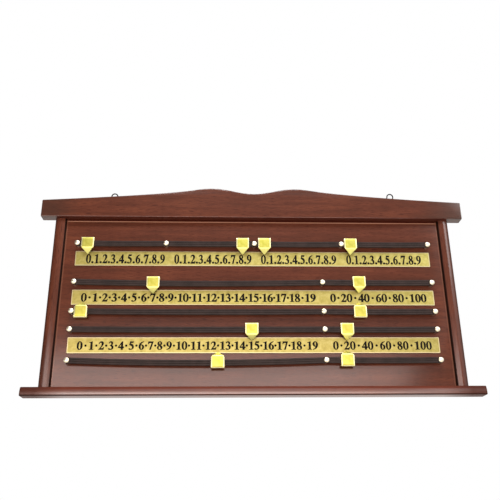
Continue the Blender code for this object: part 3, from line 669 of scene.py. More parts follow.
def place_piece(name, mesh, place, body, stands_for=()):
    """A new piece at its place, riding on its body."""
    piece = bpy.data.objects.new(name, mesh)
    piece.location = place
    bpy.context.scene.collection.objects.link(piece)
    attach(piece, body)
    if stands_for:
        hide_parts(*stands_for)
    return piece


panel_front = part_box("back_panel")[0].y
print("the panel's face is at y =", round(panel_front / mm, 2), "mm")

# %% [markdown]
# ## Number plates
#
# Each plate is a thin strip of brass whose cut edge is eased, so a fine bright line runs round it.
# A loft with a small chamfered last ring gives that edge.

# %% Number plates
plate_edge = 0.3 * mm
plate_corner = 1.0 * mm
corner_steps = 5


def plate_ring(half_x, half_z, depth):
    """A rectangle with rounded corners at one depth."""
    ring = []
    for k, (sx, sz) in enumerate(((1, 1), (-1, 1), (-1, -1), (1, -1))):
        centre = (sx * (half_x - plate_corner), sz * (half_z - plate_corner))
        ring += [(x, depth, z) for x, z in arc(centre, plate_corner, 90 * k, 90 * (k + 1), corner_steps)]
    return ring


plate_fronts = {}
for row in plate_brass:
    low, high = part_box("number_plate_" + row)
    middle = (low + high) / 2
    half = (high - low) / 2
    bm = bmesh.new()
    loft(bm, [plate_ring(half.x, half.z, half.y),
              plate_ring(half.x, half.z, plate_edge - half.y),
              plate_ring(half.x - plate_edge, half.z - plate_edge, -half.y)])
    mesh = finished_mesh(bm, "plate_" + row, plate_brass[row])
    place_piece("plate_" + row, mesh, middle, "scoreboard", ["number_plate_" + row])
    plate_fronts[row] = Vector((middle.x, low.y, middle.z))
print("plates at z =", {row: round(spot.z / mm, 1) for row, spot in plate_fronts.items()})

# %% [markdown]
# ## Drawing the numbers
#
# The numbers are a bold, narrow roman face: thick uprights, hairline turns and small flat serifs.
# Each digit is drawn once as one or more closed outlines in a box one unit high. A point is a
# corner ("c") or lies on a smooth bend ("s"). A ready font would be quicker, but a drawn face can
# follow the plates, and nothing has to be read from disk. The nine is the six upside down.

# %% Outlines of the ten digits
ring_points = ((1, 0), (0.72, 0.72), (0, 1), (-0.72, 0.72), (-1, 0), (-0.72, -0.72), (0, -1), (0.72, -0.72))


def oval(x, y, half_width, half_height):
    """Eight smooth points round an upright oval."""
    return [(x + half_width * px, y + half_height * py, "s") for px, py in ring_points]


digit_shares = {
    "0": [oval(0.27, 0.5, 0.25, 0.52), oval(0.27, 0.5, 0.105, 0.475)],
    "1": [[(0.08, 0.0, "c"), (0.47, 0.0, "c"), (0.47, 0.03, "c"), (0.39, 0.045, "s"), (0.36, 0.10, "c"),
           (0.36, 1.0, "c"), (0.33, 1.0, "c"), (0.06, 0.87, "c"), (0.07, 0.845, "c"), (0.16, 0.865, "s"),
           (0.20, 0.80, "c"), (0.20, 0.10, "c"), (0.16, 0.045, "s"), (0.08, 0.03, "c")]],
    "2": [[(0.03, 0.72, "c"), (0.08, 0.90, "s"), (0.25, 1.01, "s"), (0.42, 0.93, "s"), (0.47, 0.74, "s"),
           (0.40, 0.52, "s"), (0.17, 0.17, "c"), (0.38, 0.17, "s"), (0.46, 0.21, "s"), (0.49, 0.30, "c"),
           (0.52, 0.30, "c"), (0.48, 0.0, "c"), (0.02, 0.0, "c"), (0.02, 0.03, "c"), (0.24, 0.40, "s"),
           (0.31, 0.68, "s"), (0.27, 0.84, "s"), (0.18, 0.89, "s"), (0.09, 0.82, "s"), (0.06, 0.71, "c")]],
    "3": [[(0.05, 0.79, "c"), (0.11, 0.95, "s"), (0.26, 1.01, "s"), (0.39, 0.94, "s"), (0.44, 0.80, "s"),
           (0.41, 0.65, "s"), (0.33, 0.57, "c"), (0.45, 0.46, "s"), (0.49, 0.29, "s"), (0.41, 0.08, "s"),
           (0.21, -0.01, "s"), (0.06, 0.02, "s"), (0.02, 0.09, "s"), (0.06, 0.15, "s"), (0.15, 0.12, "s"),
           (0.24, 0.06, "s"), (0.33, 0.13, "s"), (0.34, 0.27, "s"), (0.28, 0.42, "s"), (0.16, 0.48, "c"),
           (0.16, 0.51, "c"), (0.27, 0.59, "s"), (0.30, 0.74, "s"), (0.26, 0.87, "s"), (0.19, 0.90, "s"),
           (0.12, 0.86, "s"), (0.08, 0.78, "c")]],
    "4": [[(0.45, 1.0, "c"), (0.45, 0.36, "c"), (0.54, 0.36, "c"), (0.54, 0.22, "c"), (0.45, 0.22, "c"),
           (0.45, 0.0, "c"), (0.29, 0.0, "c"), (0.29, 0.22, "c"), (0.01, 0.22, "c"), (0.01, 0.33, "c"),
           (0.36, 1.0, "c")],
          [(0.29, 0.36, "c"), (0.09, 0.36, "c"), (0.29, 0.76, "c")]],
    "5": [[(0.15, 1.0, "c"), (0.47, 1.0, "c"), (0.42, 0.85, "c"), (0.18, 0.85, "c"), (0.155, 0.75, "c"),
           (0.32, 0.68, "s"), (0.45, 0.53, "s"), (0.48, 0.34, "s"), (0.39, 0.09, "s"), (0.19, -0.01, "s"),
           (0.05, 0.02, "s"), (0.02, 0.09, "s"), (0.06, 0.15, "s"), (0.15, 0.11, "s"), (0.22, 0.06, "s"),
           (0.32, 0.13, "s"), (0.35, 0.28, "s"), (0.29, 0.45, "s"), (0.07, 0.59, "c")]],
    "6": [[(0.48, 1.01, "c"), (0.25, 0.90, "s"), (0.09, 0.69, "s"), (0.03, 0.40, "s"), (0.10, 0.11, "s"),
           (0.27, -0.01, "s"), (0.44, 0.08, "s"), (0.51, 0.31, "s"), (0.45, 0.53, "s"), (0.32, 0.61, "s"),
           (0.22, 0.58, "c"), (0.28, 0.79, "s"), (0.49, 0.98, "c")],
          [(0.20, 0.53, "c"), (0.28, 0.55, "s"), (0.34, 0.46, "s"), (0.36, 0.28, "s"), (0.34, 0.10, "s"),
           (0.27, 0.04, "s"), (0.21, 0.11, "s"), (0.19, 0.32, "s")]],
    "7": [[(0.06, 1.0, "c"), (0.51, 1.0, "c"), (0.51, 0.96, "c"), (0.29, 0.0, "c"), (0.16, 0.0, "c"),
           (0.38, 0.83, "c"), (0.18, 0.83, "s"), (0.09, 0.79, "s"), (0.05, 0.69, "c"), (0.02, 0.69, "c")]],
    "8": [[(0.27, 1.01, "s"), (0.42, 0.94, "s"), (0.47, 0.79, "s"), (0.44, 0.64, "s"), (0.37, 0.55, "s"),
           (0.47, 0.43, "s"), (0.51, 0.26, "s"), (0.44, 0.06, "s"), (0.27, -0.01, "s"), (0.10, 0.05, "s"),
           (0.03, 0.24, "s"), (0.07, 0.40, "s"), (0.16, 0.49, "s"), (0.08, 0.61, "s"), (0.06, 0.77, "s"),
           (0.12, 0.94, "s")],
          [(0.27, 0.96, "s"), (0.34, 0.90, "s"), (0.35, 0.77, "s"), (0.31, 0.62, "s"), (0.22, 0.71, "s"),
           (0.19, 0.84, "s"), (0.21, 0.93, "s")],
          [(0.21, 0.43, "s"), (0.32, 0.33, "s"), (0.38, 0.18, "s"), (0.35, 0.07, "s"), (0.27, 0.04, "s"),
           (0.18, 0.10, "s"), (0.15, 0.25, "s")]],
}
digit_middle_share = 0.27
digit_shares["9"] = [[(2 * digit_middle_share - x, 1 - y, kind) for x, y, kind in outline]
                     for outline in digit_shares["6"]]
print("digits drawn:", len(digit_shares))

# %% [markdown]
# ## From outlines to thin meshes
#
# Blender's curves turn an outline into a mesh: automatic handles run a bend through the smooth
# points, straight handles keep the corners, and a curve that is filled in two dimensions leaves an
# inner outline open as a hole. All outlines are offset by one small weight, as a heavier cut of the
# same face would be. To grow thicker everywhere, the outer ones have to run anticlockwise and the
# holes clockwise. Each glyph is made once and copied into its places afterwards.

# %% Glyphs as thin meshes
low_dot_share = 0.1
middle_dot_share = 0.115
weight_share = 0.027
bend_resolution = 5


def turned_way(outline, is_hole):
    """The outline run anticlockwise, or clockwise for a hole, so that its weight grows outwards."""
    pairs = zip(outline, outline[1:] + outline[:1])
    area = sum(x0 * z1 - x1 * z0 for (x0, z0, _), (x1, z1, _) in pairs)
    return outline if (area > 0) != is_hole else outline[::-1]


def glyph_mesh(name, outlines):
    """Outlines of one glyph as a closed mesh in the XZ plane, one unit high and one unit thick."""
    curve = bpy.data.curves.new(name, "CURVE")
    curve.dimensions = "2D"
    curve.fill_mode = "BOTH"
    curve.extrude = 0.5
    curve.offset = weight_share
    curve.resolution_u = bend_resolution
    for number, outline in enumerate(outlines):
        outline = turned_way(outline, is_hole=number > 0)
        spline = curve.splines.new("BEZIER")
        spline.bezier_points.add(len(outline) - 1)
        spline.use_cyclic_u = True
        for point, (x, z, kind) in zip(spline.bezier_points, outline):
            point.co = (x, z, 0.0)
            handle = "AUTO" if kind == "s" else "VECTOR"
            point.handle_left_type = handle
            point.handle_right_type = handle
    holder = bpy.data.objects.new(name, curve)
    bpy.context.scene.collection.objects.link(holder)
    bpy.context.view_layer.update()
    mesh = bpy.data.meshes.new_from_object(holder)
    bpy.data.objects.remove(holder)
    mesh.transform(Matrix.Rotation(math.radians(90), 4, "X"))
    return mesh


glyphs = {digit: glyph_mesh("digit_" + digit, shapes) for digit, shapes in digit_shares.items()}
glyphs["."] = glyph_mesh("full_point", [oval(0, low_dot_share, low_dot_share, low_dot_share)])
glyphs["·"] = glyph_mesh("middle_point", [oval(0, 0.5, middle_dot_share, middle_dot_share)])
print("glyphs:", " ".join(glyphs), "with", sum(len(g.polygons) for g in glyphs.values()), "faces")

# %% [markdown]
# ## Setting the lines of numbers
#
# Every number has its place on the plate, given by its middle, and a point stands halfway between
# two neighbours. The enamel stands a hair proud of the brass and reaches a hair into it, so no light
# passes between them. All the enamel of a plate is one piece, because it never moves by itself.

# %% A number at its place
enamel_proud = 0.06 * mm
enamel_sunk = 0.05 * mm


def add_glyph(bm, sign, middle, foot, height, width_share):
    """One glyph with its middle at a place along the plate, relative to the plate's middle."""
    width = height * width_share if sign.isdigit() else height
    shift = digit_middle_share * width if sign.isdigit() else 0.0
    size = Matrix.Diagonal((width, enamel_proud + enamel_sunk, height, 1.0))
    spot = Matrix.Translation((middle - shift, (enamel_sunk - enamel_proud) / 2, foot))
    before = set(bm.verts)
    bm.from_mesh(glyphs[sign])
    fresh = [v for v in bm.verts if v not in before]
    bmesh.ops.transform(bm, matrix=spot @ size, verts=fresh)


def numbers_piece(row, runs, point, foot, height, width_share):
    """All the numbers of one plate; a run is the places of its numbers in mm and their digits' pitch."""
    bm = bmesh.new()
    for places, advance in runs:
        edge_before = None
        for number, place in places.items():
            digits = str(number)
            first = place * mm - advance * (len(digits) - 1) / 2
            last = place * mm + advance * (len(digits) - 1) / 2
            for k, digit in enumerate(digits):
                add_glyph(bm, digit, first + advance * k, foot, height, width_share)
            if edge_before is not None:
                add_glyph(bm, point, (edge_before + first) / 2, foot, height, width_share)
            edge_before = last
    mesh = finished_mesh(bm, "numbers_" + row, enamel)
    place_piece(mesh.name, mesh, plate_fronts[row], "scoreboard")
    print("numbers on the", row, "plate:", len(mesh.polygons), "faces")


print("the enamel stands", round(enamel_proud / mm, 2), "mm proud of the brass")

# %% [markdown]
# ## The three lines
#
# The top plate carries four runs of 0 to 9 in narrow digits, each run with its own pitch. The other
# two carry 0 to 19 beside a run of tens in wider digits, spaced a little unevenly, as on a plate
# that was laid out by hand. An even pitch would be shorter to write and look printed.

# %% Lines of numbers on the plates
unit_starts = ((-268.3, 13.25), (-126.0, 13.1), (15.3, 12.87), (155.6, 12.9))
unit_width_share = 0.97
score_width_share = 1.24
score_places = {0: -270.5, 1: -252.7, 2: -237.3, 3: -222.5, 4: -207.3, 5: -191.3, 6: -176.0, 7: -161.8,
                8: -147.8, 9: -133.4, 10: -114.1, 11: -91.6, 12: -69.1, 13: -46.5, 14: -24.3, 15: -1.8,
                16: 20.4, 17: 42.3, 18: 64.2, 19: 89.3}
score_digit_advance = 8.9 * mm
tens_places = {0: 126.0, 20: 147.9, 40: 175.9, 60: 204.2, 80: 231.5, 100: 263.6}
tens_digit_advance = 9.3 * mm
foot_and_height = {"top": (-8.5 * mm, 15.1 * mm), "middle": (-7.1 * mm, 13.4 * mm),
                   "bottom": (-7.0 * mm, 12.8 * mm)}

unit_runs = [({digit: start + digit * pitch for digit in range(10)}, 0.0) for start, pitch in unit_starts]
numbers_piece("top", unit_runs, ".", *foot_and_height["top"], unit_width_share)
score_runs = [(score_places, score_digit_advance), (tens_places, tens_digit_advance)]
for row in ("middle", "bottom"):
    numbers_piece(row, score_runs, "·", *foot_and_height[row], score_width_share)

# %% [markdown]
# ## The runner strips and their sag
#
# A strip is an extruded rubber section with three flat ribs, threaded over the studs. A catenary
# could be worked out for each span. The solid strip already hangs in the right curve, though, so
# the new one reads its sag from that mesh: at each place along X it takes the middle of the solid's
# height there.

# %% The line of a strip
strip_width = 9.0 * mm
full_width_share = 0.95      # columns of the solid that are lower than this lie in its round ends


def strip_middle_line(name):
    """(x, z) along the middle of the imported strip, from its upper and lower edges."""
    columns = {}
    for vertex in nodes[name].data.vertices:
        columns.setdefault(round(vertex.co.x / mm, 1), []).append(vertex.co.z)
    full = {x * mm: (max(zs) + min(zs)) / 2 for x, zs in columns.items()
            if max(zs) - min(zs) > full_width_share * strip_width}
    return sorted(full.items())


def height_on(line, x):
    """Height of a line of (x, z) points at x, level past its ends."""
    if x <= line[0][0]:
        return line[0][1]
    for (x0, z0), (x1, z1) in zip(line, line[1:]):
        if x0 <= x <= x1:
            return z0 + (z1 - z0) * (x - x0) / (x1 - x0)
    return line[-1][1]


top_line = strip_middle_line("runner_strip_1")
print("strip 1:", len(top_line), "heights, middle at z =", round(height_on(top_line, 0.0) / mm, 1), "mm")

# %% [markdown]
# ## The section of a strip
#
# Rubber leaves a die with soft edges, and they catch the light as three fine lines. So each rib gets
# shoulders, and the strip's ends narrow along a quarter of a circle. One ring of points is the
# section at one place, and a loft joins the rings along the line.

# %% Runner strips
rib_count = 3
rib_depth = 0.6 * mm
rib_shoulder = 0.35 * mm
groove_top, groove_bottom = 1.6, 0.5         # half widths of a groove, in shoulders
back_edge_part = 6                           # the back edge is eased over a sixth of the depth
strip_step = 6.0 * mm
strip_end_length = 4.8 * mm
strip_end_steps = 7


def strip_ring(x, z, share, back, front):
    """Ribbed section at one place, narrowed by a share towards the ends."""
    half = strip_width / 2 * share
    pitch = 2 * half / rib_count
    shoulder = rib_shoulder * share
    eased = back + (front - back) / back_edge_part
    ring = [(x, back, z + half - shoulder), (x, eased, z + half)]
    ring += [(x, front + rib_depth / 2, z + half), (x, front, z + half - shoulder)]
    for k in range(1, rib_count):
        groove = z + half - pitch * k
        ring += [(x, front, groove + groove_top * shoulder),
                 (x, front + rib_depth, groove + groove_bottom * shoulder),
                 (x, front + rib_depth, groove - groove_bottom * shoulder),
                 (x, front, groove - groove_top * shoulder)]
    ring += [(x, front, z - half + shoulder), (x, front + rib_depth / 2, z - half)]
    ring += [(x, eased, z - half), (x, back, z - half + shoulder)]
    return ring


def strip_stations(low_x, high_x):
    """(x, share of the full width) along a strip with round ends."""
    first, last = low_x + strip_end_length, high_x - strip_end_length
    angles = [math.pi / 2 * k / strip_end_steps for k in range(1, strip_end_steps)]
    count = round((last - first) / strip_step)
    start = [(first - strip_end_length * math.cos(angle), math.sin(angle)) for angle in angles]
    middle = [(first + (last - first) * k / count, 1.0) for k in range(count + 1)]
    end = [(last + strip_end_length * math.cos(angle), math.sin(angle)) for angle in reversed(angles)]
    return start + middle + end


for number in range(1, 6):
    name = "runner_strip_" + str(number)
    low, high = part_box(name)
    line = strip_middle_line(name)
    bm = bmesh.new()
    loft(bm, [strip_ring(x, height_on(line, x), share, high.y, low.y)
              for x, share in strip_stations(low.x, high.x)])
    mesh = finished_mesh(bm, "rubber_runner_" + str(number), rubber)
    place_piece(mesh.name, mesh, (0, 0, 0), "scoreboard", [name])
print("five rubber runners,", len(mesh.polygons), "faces in the last one")

# %% [markdown]
# ## Studs
#
# Each stud is one turned piece: a domed head in front of the strip, a thin shank through it and a
# collar behind that holds it off the panel. The profile is spun with 32 sides. The parts of the
# profile that nobody sees stay short, because the shank runs inside the rubber.

# %% Studs
stud_sides = 32
head_radius = 4.2 * mm
head_rim = 0.5 * mm
head_round = 0.25 * mm
dome_steps = 9
dome_flat = 0.05 * mm        # radius of the last ring, small enough to look like a point
collar_radius = 3.4 * mm
collar_height = 5.8 * mm
shank_radius = 1.5 * mm
spigot_depth = 3.4 * mm
seat_gap = 0.3 * mm
strip_depth = 3.6 * mm


def stud_profile(length):
    """Half profile from the end of the spigot in the panel to the top of the dome."""
    strip_front = collar_height + seat_gap + strip_depth
    base = strip_front + seat_gap
    rim = base + head_rim
    dome_height = length - rim
    dome = []
    for k in range(1, dome_steps):
        angle = math.pi / 2 * k / dome_steps
        dome.append((head_radius * math.cos(angle), rim + dome_height * math.sin(angle)))
    return [(shank_radius, -spigot_depth), (shank_radius, seat_gap),
            (collar_radius - head_round, seat_gap), (collar_radius, seat_gap + head_round),
            (collar_radius, collar_height - head_round), (collar_radius - head_round, collar_height),
            (shank_radius, collar_height), (shank_radius, base), (head_radius - head_round, base),
            (head_radius, base + head_round), (head_radius, rim), *dome, (dome_flat, length)]


def turned_mesh(name, profile, sides, material):
    """A half profile of (radius, reach) spun about a line that points to the front, along -Y."""
    bm = bmesh.new()
    rings = []
    for radius, reach in profile:
        rings.append([(radius * math.cos(2 * math.pi * k / sides), -reach,
                       radius * math.sin(2 * math.pi * k / sides)) for k in range(sides)])
    loft(bm, rings)
    return finished_mesh(bm, name, material)


stud_names = sorted(name for name in nodes if name.startswith("runner_stud"))
low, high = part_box(stud_names[0])
stud_length = panel_front - low.y
stud_mesh = turned_mesh("turned_stud", stud_profile(stud_length), stud_sides, stud_brass)
for name in stud_names:
    low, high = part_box(name)
    middle = (low + high) / 2
    place_piece(name.replace("runner_stud", "stud"), stud_mesh, (middle.x, panel_front, middle.z),
                "scoreboard", [name])
print(len(stud_names), "studs, each", round(stud_length / mm, 1), "mm proud of the panel")

# %% [markdown]
# ## The path of a pointer's sheet
#
# A pointer is cut from sheet brass 0.9 mm thick, folded over the strip and pressed to a slightly
# raised face with sloping borders. From a small shoulder it narrows evenly along the sheet to a
# blunt tip, which is bent back towards the plate. Carving this from a block would lose the even
# thickness that gives sheet metal away, so the sheet is drawn as it is folded: a list of rows along
# its path, each with its half width and its share of the pressed crown.

# %% Path of the sheet
sheet = 0.9 * mm
sheet_bend = 2.4 * mm
fold_steps = 8
tip_steps = 5
tip_half = 0.7 * mm
tip_bend = 50
tip_rows = (0.25, 0.5, 0.75, 0.93, 1.0)
shoulder = 1.4 * mm
front_reach = 10.9 * mm
back_reach = 4.9 * mm
room = 8.9 * mm              # from the middle of the strip to the inside of the fold
leg_share = 0.72
plate_face = 1.1 * mm
tip_clearance = 0.7 * mm
crown_at_fold = 0.55
crown_rise = ((0.9 * mm, 0.95), (2 * mm, 1.0))


def tapered(points, half):
    """Rows that narrow evenly along the sheet, from the full width to the blunt tip."""
    lengths = [0.0]
    for before, after in zip(points, points[1:]):
        lengths.append(lengths[-1] + math.dist(before, after))
    left = [1 - length / lengths[-1] for length in lengths]
    return [(w, d, tip_half + (half - tip_half) * share, share) for (w, d), share in zip(points, left)]


def pointer_rows(half):
    """Outer face of the sheet as (towards the tip, off the panel, half width, crown share)."""
    edge = -(room + sheet)
    leg_end = edge + (2 * room + sheet) * leg_share
    r = sheet_bend
    rows = [(leg_end, back_reach, half, 0.0)]
    fold = arc((edge + r, back_reach + r), r, -90, -180, fold_steps)
    fold += arc((edge + r, front_reach - r), r, 180, 90, fold_steps)
    rows += [(w, d, half, 0.0) for w, d in fold]
    rows[-1] = (*rows[-1][:3], crown_at_fold)
    rows += [(edge + r + further, front_reach, half, crown) for further, crown in crown_rise]
    bend = arc((room, front_reach - r), r, 90, 90 - tip_bend, tip_steps)
    w, d = bend[-1]
    end = plate_face + tip_clearance + sheet * math.sin(math.radians(tip_bend))
    reach = (d - end) / math.tan(math.radians(tip_bend))
    tip = [(w + reach * share, d + (end - d) * share) for share in tip_rows]
    return rows + tapered([(room - shoulder, front_reach)] + bend + tip, half)


pointer_names = sorted(name for name in nodes if name.startswith("score_pointer"))
low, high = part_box(pointer_names[0])
pointer_half = (high.x - low.x) / 2
row_count = len(pointer_rows(pointer_half))
print("a pointer is", round(2 * pointer_half / mm, 1), "mm wide and its path has", row_count, "rows")

# %% [markdown]
# ## The pointers
#
# Rows along the path and columns across it make a grid. Its outer columns lie close together, where
# the pressed border slopes. A Solidify modifier gives the sheet its thickness and gives the cut edge
# the dark brass, painted shade, as its own material, and a small bevel takes the sharpness off. The
# solid pointers follow the same path with fewer rows, so the box of each one gives the new one its
# place. Rows 1, 2 and 4 point down, the other two up.

# %% Twelve pointers on their strips
pressed_crown = 0.45 * mm
columns_and_lift = ((-1.0, 0.0), (-0.985, 0.08), (-0.93, 0.45), (-0.86, 0.82), (-0.78, 1.0), (-0.4, 1.06),
                    (0.0, 1.1), (0.4, 1.06), (0.78, 1.0), (0.86, 0.82), (0.93, 0.45), (0.985, 0.08),
                    (1.0, 0.0))
edge_ease = 0.12 * mm
edge_segments = 2
edge_angle = math.radians(50)
down_rows = ("1", "2", "4")


def pointer_mesh(name, half):
    """Grid of the folded sheet, tip downwards, with the panel's face at y = 0."""
    bm = bmesh.new()
    grid = []
    for w, d, width, crown in pointer_rows(half):
        grid.append([bm.verts.new((width * share, -d - pressed_crown * crown * lift, -w))
                     for share, lift in columns_and_lift])
    for row, below in zip(grid, grid[1:]):
        for k in range(len(row) - 1):
            bm.faces.new((row[k], below[k], below[k + 1], row[k + 1]))
    mesh = bpy.data.meshes.new(name)
    bm.normal_update()
    bm.to_mesh(mesh)
    bm.free()
    mesh.materials.append(pointer_brass)
    mesh.materials.append(edge_shade_brass)
    mesh.shade_smooth()
    return mesh


pointer_sheet = pointer_mesh("folded_pointer", pointer_half)
for name in pointer_names:
    low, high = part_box(name)
    row = name.split("_")[-2]
    down = row in down_rows
    fold_height = high.z - room - sheet if down else low.z + room + sheet
    short_name = name.replace("score_", "")
    piece = place_piece(short_name, pointer_sheet, ((low.x + high.x) / 2, panel_front, fold_height),
                        short_name, [name])
    piece.rotation_euler = (0, 0 if down else math.pi, 0)
    thick = piece.modifiers.new("sheet", "SOLIDIFY")
    thick.thickness = sheet
    thick.offset = -1
    thick.use_even_offset = True
    thick.material_offset_rim = 1
    ease = piece.modifiers.new("eased_edges", "BEVEL")
    ease.width = edge_ease
    ease.segments = edge_segments
    ease.limit_method = "ANGLE"
    ease.angle_limit = edge_angle
    ease.harden_normals = True
print(len(pointer_names), "pointers,", len(pointer_sheet.polygons), "faces before they get their thickness")

# %% [markdown]
# ## Ring hangers
#
# Behind the header two sheet-steel straps curl round the bar of a wire ring, and a screw holds each
# strap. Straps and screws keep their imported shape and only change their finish. The ring is what
# shows above the header, so it is made again as a round wire on a closed path, its bar in the
# strap's curl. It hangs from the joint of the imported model, which also gives its lean.

# %% Ring hangers
wire_radius = 0.98 * mm
wire_sides = 16
ring_half = 5.0 * mm
ring_leg = 9.5 * mm
ring_corner = 1.6 * mm
bow_steps = 24
bar_corner_steps = 6


def ring_mesh(name, lean):
    """Round wire swept along the ring's path, with the straight bar through the origin."""
    path = arc((0, ring_leg), ring_half, 0, 180, bow_steps)
    path += arc((-ring_half + ring_corner, ring_corner), ring_corner, 180, 270, bar_corner_steps)
    path += arc((ring_half - ring_corner, ring_corner), ring_corner, 270, 360, bar_corner_steps)
    rings = []
    for k, (x, z) in enumerate(path):
        before, after = path[k - 1], path[(k + 1) % len(path)]
        ahead = Vector((after[0] - before[0], 0, after[1] - before[1])).normalized()
        side = ahead.cross(Vector((0, 1, 0)))
        ring = []
        for m in range(wire_sides):
            angle = 2 * math.pi * m / wire_sides
            offset = side * math.cos(angle) + Vector((0, 1, 0)) * math.sin(angle)
            ring.append(Vector((x, 0, z)) + offset * wire_radius)
        rings.append(ring)
    bm = bmesh.new()
    loft(bm, rings, closed=True)
    bmesh.ops.rotate(bm, matrix=Matrix.Rotation(lean, 3, "Y"), verts=bm.verts)
    return finished_mesh(bm, name, hanger_steel)


def joint_of(name):
    """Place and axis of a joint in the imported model."""
    for joint in frame["joints"]:
        if joint["name"] == name:
            return Vector(joint["pos_m"]), Vector(joint["axis"])
    raise SystemExit("no joint named " + name)


for side in ("left", "right"):
    pivot, axis = joint_of("ring_swing_" + side)
    wire_ring = ring_mesh("wire_ring_" + side, math.atan2(-axis.z, axis.x))
    place_piece(wire_ring.name, wire_ring, pivot, "ring_" + side,
                ["hanger_ring_" + side])
    dress("hanger_strap_" + side, hanger_steel)
    dress("hanger_screw_" + side, hanger_steel)
    print("ring on the", side, "hangs", round(pivot.x / mm, 1), "mm from the middle")

# %% [markdown]
# ## A white studio
#
# The board was photographed from below its sill on a white ground. A light strong enough to bleach
# the background would bleach the wood too. So the world is white only to the camera, to mirrors and
# through glass, which the Light Path node tells apart, and a soft grey for matt surfaces.

# %% World
ambient_colour = "#F4F1EC"
ambient_level = 0.5


def studio_world():
    """White to the eye and to reflections, soft grey as a light."""
    world = bpy.data.worlds.new("white_studio")
    bpy.context.scene.world = world
    world.use_nodes = True
    tree = world.node_tree
    tree.nodes.clear()
    path = add(tree, "ShaderNodeLightPath")
    seen = path.outputs["Is Camera Ray"]
    for ray in ("Is Glossy Ray", "Is Transmission Ray"):
        seen = add(tree, "ShaderNodeMath", {0: seen, 1: path.outputs[ray]}, operation="MAXIMUM").outputs[0]
    white_ground = add(tree, "ShaderNodeBackground", {"Color": linear(white), "Strength": 1.0})
    soft = add(tree, "ShaderNodeBackground", {"Color": linear(ambient_colour), "Strength": ambient_level})
    mix = add(tree, "ShaderNodeMixShader", {0: seen, 1: soft.outputs[0], 2: white_ground.outputs[0]})
    add(tree, "ShaderNodeOutputWorld", {"Surface": mix.outputs[0]})


studio_world()
print("world light on matt surfaces:", ambient_level)

# %% [markdown]
# ## Floor and dark cards
#
# Lacquer and brass show what stands before them. Under a plain white world both would turn pale, so
# four dark cards are seen in reflections only: they keep the wood deep and let the brass turn from
# bright to dark, as under a studio ceiling. Camera, matt surfaces and shadows don't know of them.

# %% Floor and dark cards
floor_depth = 1.3
floor_half = 4.5
floor_colour = "#EDEBE7"
card_colour = "#2A2522"
card_roughness = 0.9
dark_cards = {
    "dark_front_flag": ((1.8, 0.78), (-0.4, -2.4, 1.39), (90, 0)),
    "dark_left_flag": ((1.2, 0.95), (-2.2, -1.2, 1.25), (90, 90)),
    "dark_low_flag": ((0.5, 0.3), (1.15, -2.4, 0.22), (90, 0)),
    "dark_ceiling_flag": ((1.2, 0.9), (0, 0.7, 1.3), (0, 0)),
}


def plain_card(name, colour, half_size, place, turn=(0, 0)):
    """A flat matt card of the studio, tilted about X and turned about Z by degrees."""
    bm = bmesh.new()
    half_x, half_y = half_size
    bm.faces.new([bm.verts.new(spot) for spot in
                  ((-half_x, -half_y, 0), (half_x, -half_y, 0), (half_x, half_y, 0), (-half_x, half_y, 0))])
    mesh = bpy.data.meshes.new(name)
    bm.to_mesh(mesh)
    bm.free()
    material, tree, shader = new_material(name)
    plug(tree, shader, {"Base Color": linear(colour), "Roughness": card_roughness})
    mesh.materials.append(material)
    card = bpy.data.objects.new(name, mesh)
    card.location = place
    card.rotation_euler = (math.radians(turn[0]), 0, math.radians(turn[1]))
    bpy.context.scene.collection.objects.link(card)
    return card


plain_card("studio_floor", floor_colour, (floor_half, floor_half), (0, 0, -floor_depth))
for name, (half_size, place, turn) in dark_cards.items():
    card = plain_card(name, card_colour, half_size, place, turn)
    card.visible_camera = False
    card.visible_diffuse = False
    card.visible_shadow = False
print("studio: floor", floor_depth, "m below the board's middle and", len(dark_cards), "dark cards")

# %% [markdown]
# ## Lamps
#
# A large key lamp above the board gives shape, and a fill lamp on the right opens the shadows. Two
# long low lamps light the lower panel and the front of the sill, and a wide lamp under the board
# keeps the floor white. All are area lamps, since lacquer shows the edge of any small hard light.

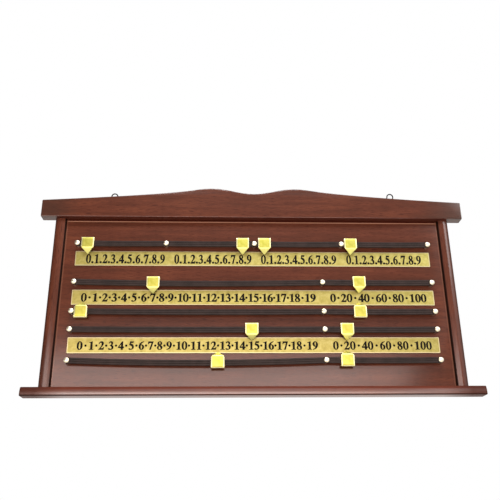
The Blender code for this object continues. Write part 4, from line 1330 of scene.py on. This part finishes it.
# %% Lamps
lamps = {                    # place, size and power in metres and watts, and colour
    "key_lamp": ((0.05, -1.3, 1.7), (1.0, 0.8), 27, "#FFFFFF"),
    "fill_lamp": ((1.3, -1.2, 1.0), (0.8, 0.8), 8, "#FFFFFF"),
    "low_lamp": ((-0.1, -1.3, 0.06), (1.5, 0.3), 5.2, "#FFEBE3"),
    "sill_lamp": ((-0.1, -1.3, -0.19), (1.6, 0.26), 3.6, "#FFCDBA"),
    "floor_lamp": ((0, -0.4, -0.35), (8.0, 8.0), 120, "#FFFFFF"),
}
lamps_facing_down = ("floor_lamp",)

for name, (place, size, power, colour) in lamps.items():
    lamp = bpy.data.lights.new(name, "AREA")
    lamp.shape = "RECTANGLE"
    lamp.size, lamp.size_y = size
    lamp.energy = power
    lamp.color = linear(colour)[:3]
    holder = bpy.data.objects.new(name, lamp)
    holder.location = place
    if name not in lamps_facing_down:
        holder.rotation_euler = (-Vector(place)).to_track_quat("-Z", "Y").to_euler()
    holder.visible_camera = False
    bpy.context.scene.collection.objects.link(holder)
print("lamps:", ", ".join(lamps))

# %% [markdown]
# ## Camera
#
# The camera's place was found by fitting a pinhole camera to the corners of the boards, with the
# board's real length and height as the scale. It stands 0.36 m below the middle of the board and
# nearly a metre in front, and looks up by 21 degrees. The lens is shifted a little, because the
# picture's middle isn't quite where the lens points.

# %% Camera
photo_width = 500
focal_pixels = 645.6
shift_right_pixels = -0.15
centre_row = 280.2
sensor = 36.0
camera_place = Vector((-46.1, -978.0, -360.2)) * mm
camera_pitch = math.radians(21.036)
camera_yaw = math.radians(-2.311)
camera_roll = math.radians(-0.635)

camera_data = bpy.data.cameras.new("photo_camera")
camera_data.sensor_width = sensor
camera_data.lens = focal_pixels / photo_width * sensor
camera_data.shift_x = shift_right_pixels / photo_width
camera_data.shift_y = (centre_row - photo_width / 2) / photo_width
camera = bpy.data.objects.new("photo_camera", camera_data)
facing = Matrix.Rotation(camera_yaw, 4, "Z") @ Matrix.Rotation(math.pi / 2 + camera_pitch, 4, "X")
camera.matrix_world = (Matrix.Translation(camera_place) @ facing
                       @ Matrix.Rotation(camera_roll, 4, "Z"))
bpy.context.scene.collection.objects.link(camera)
bpy.context.scene.camera = camera
bpy.context.scene.view_settings.view_transform = "Standard"
print("lens in mm:", round(camera_data.lens, 2))
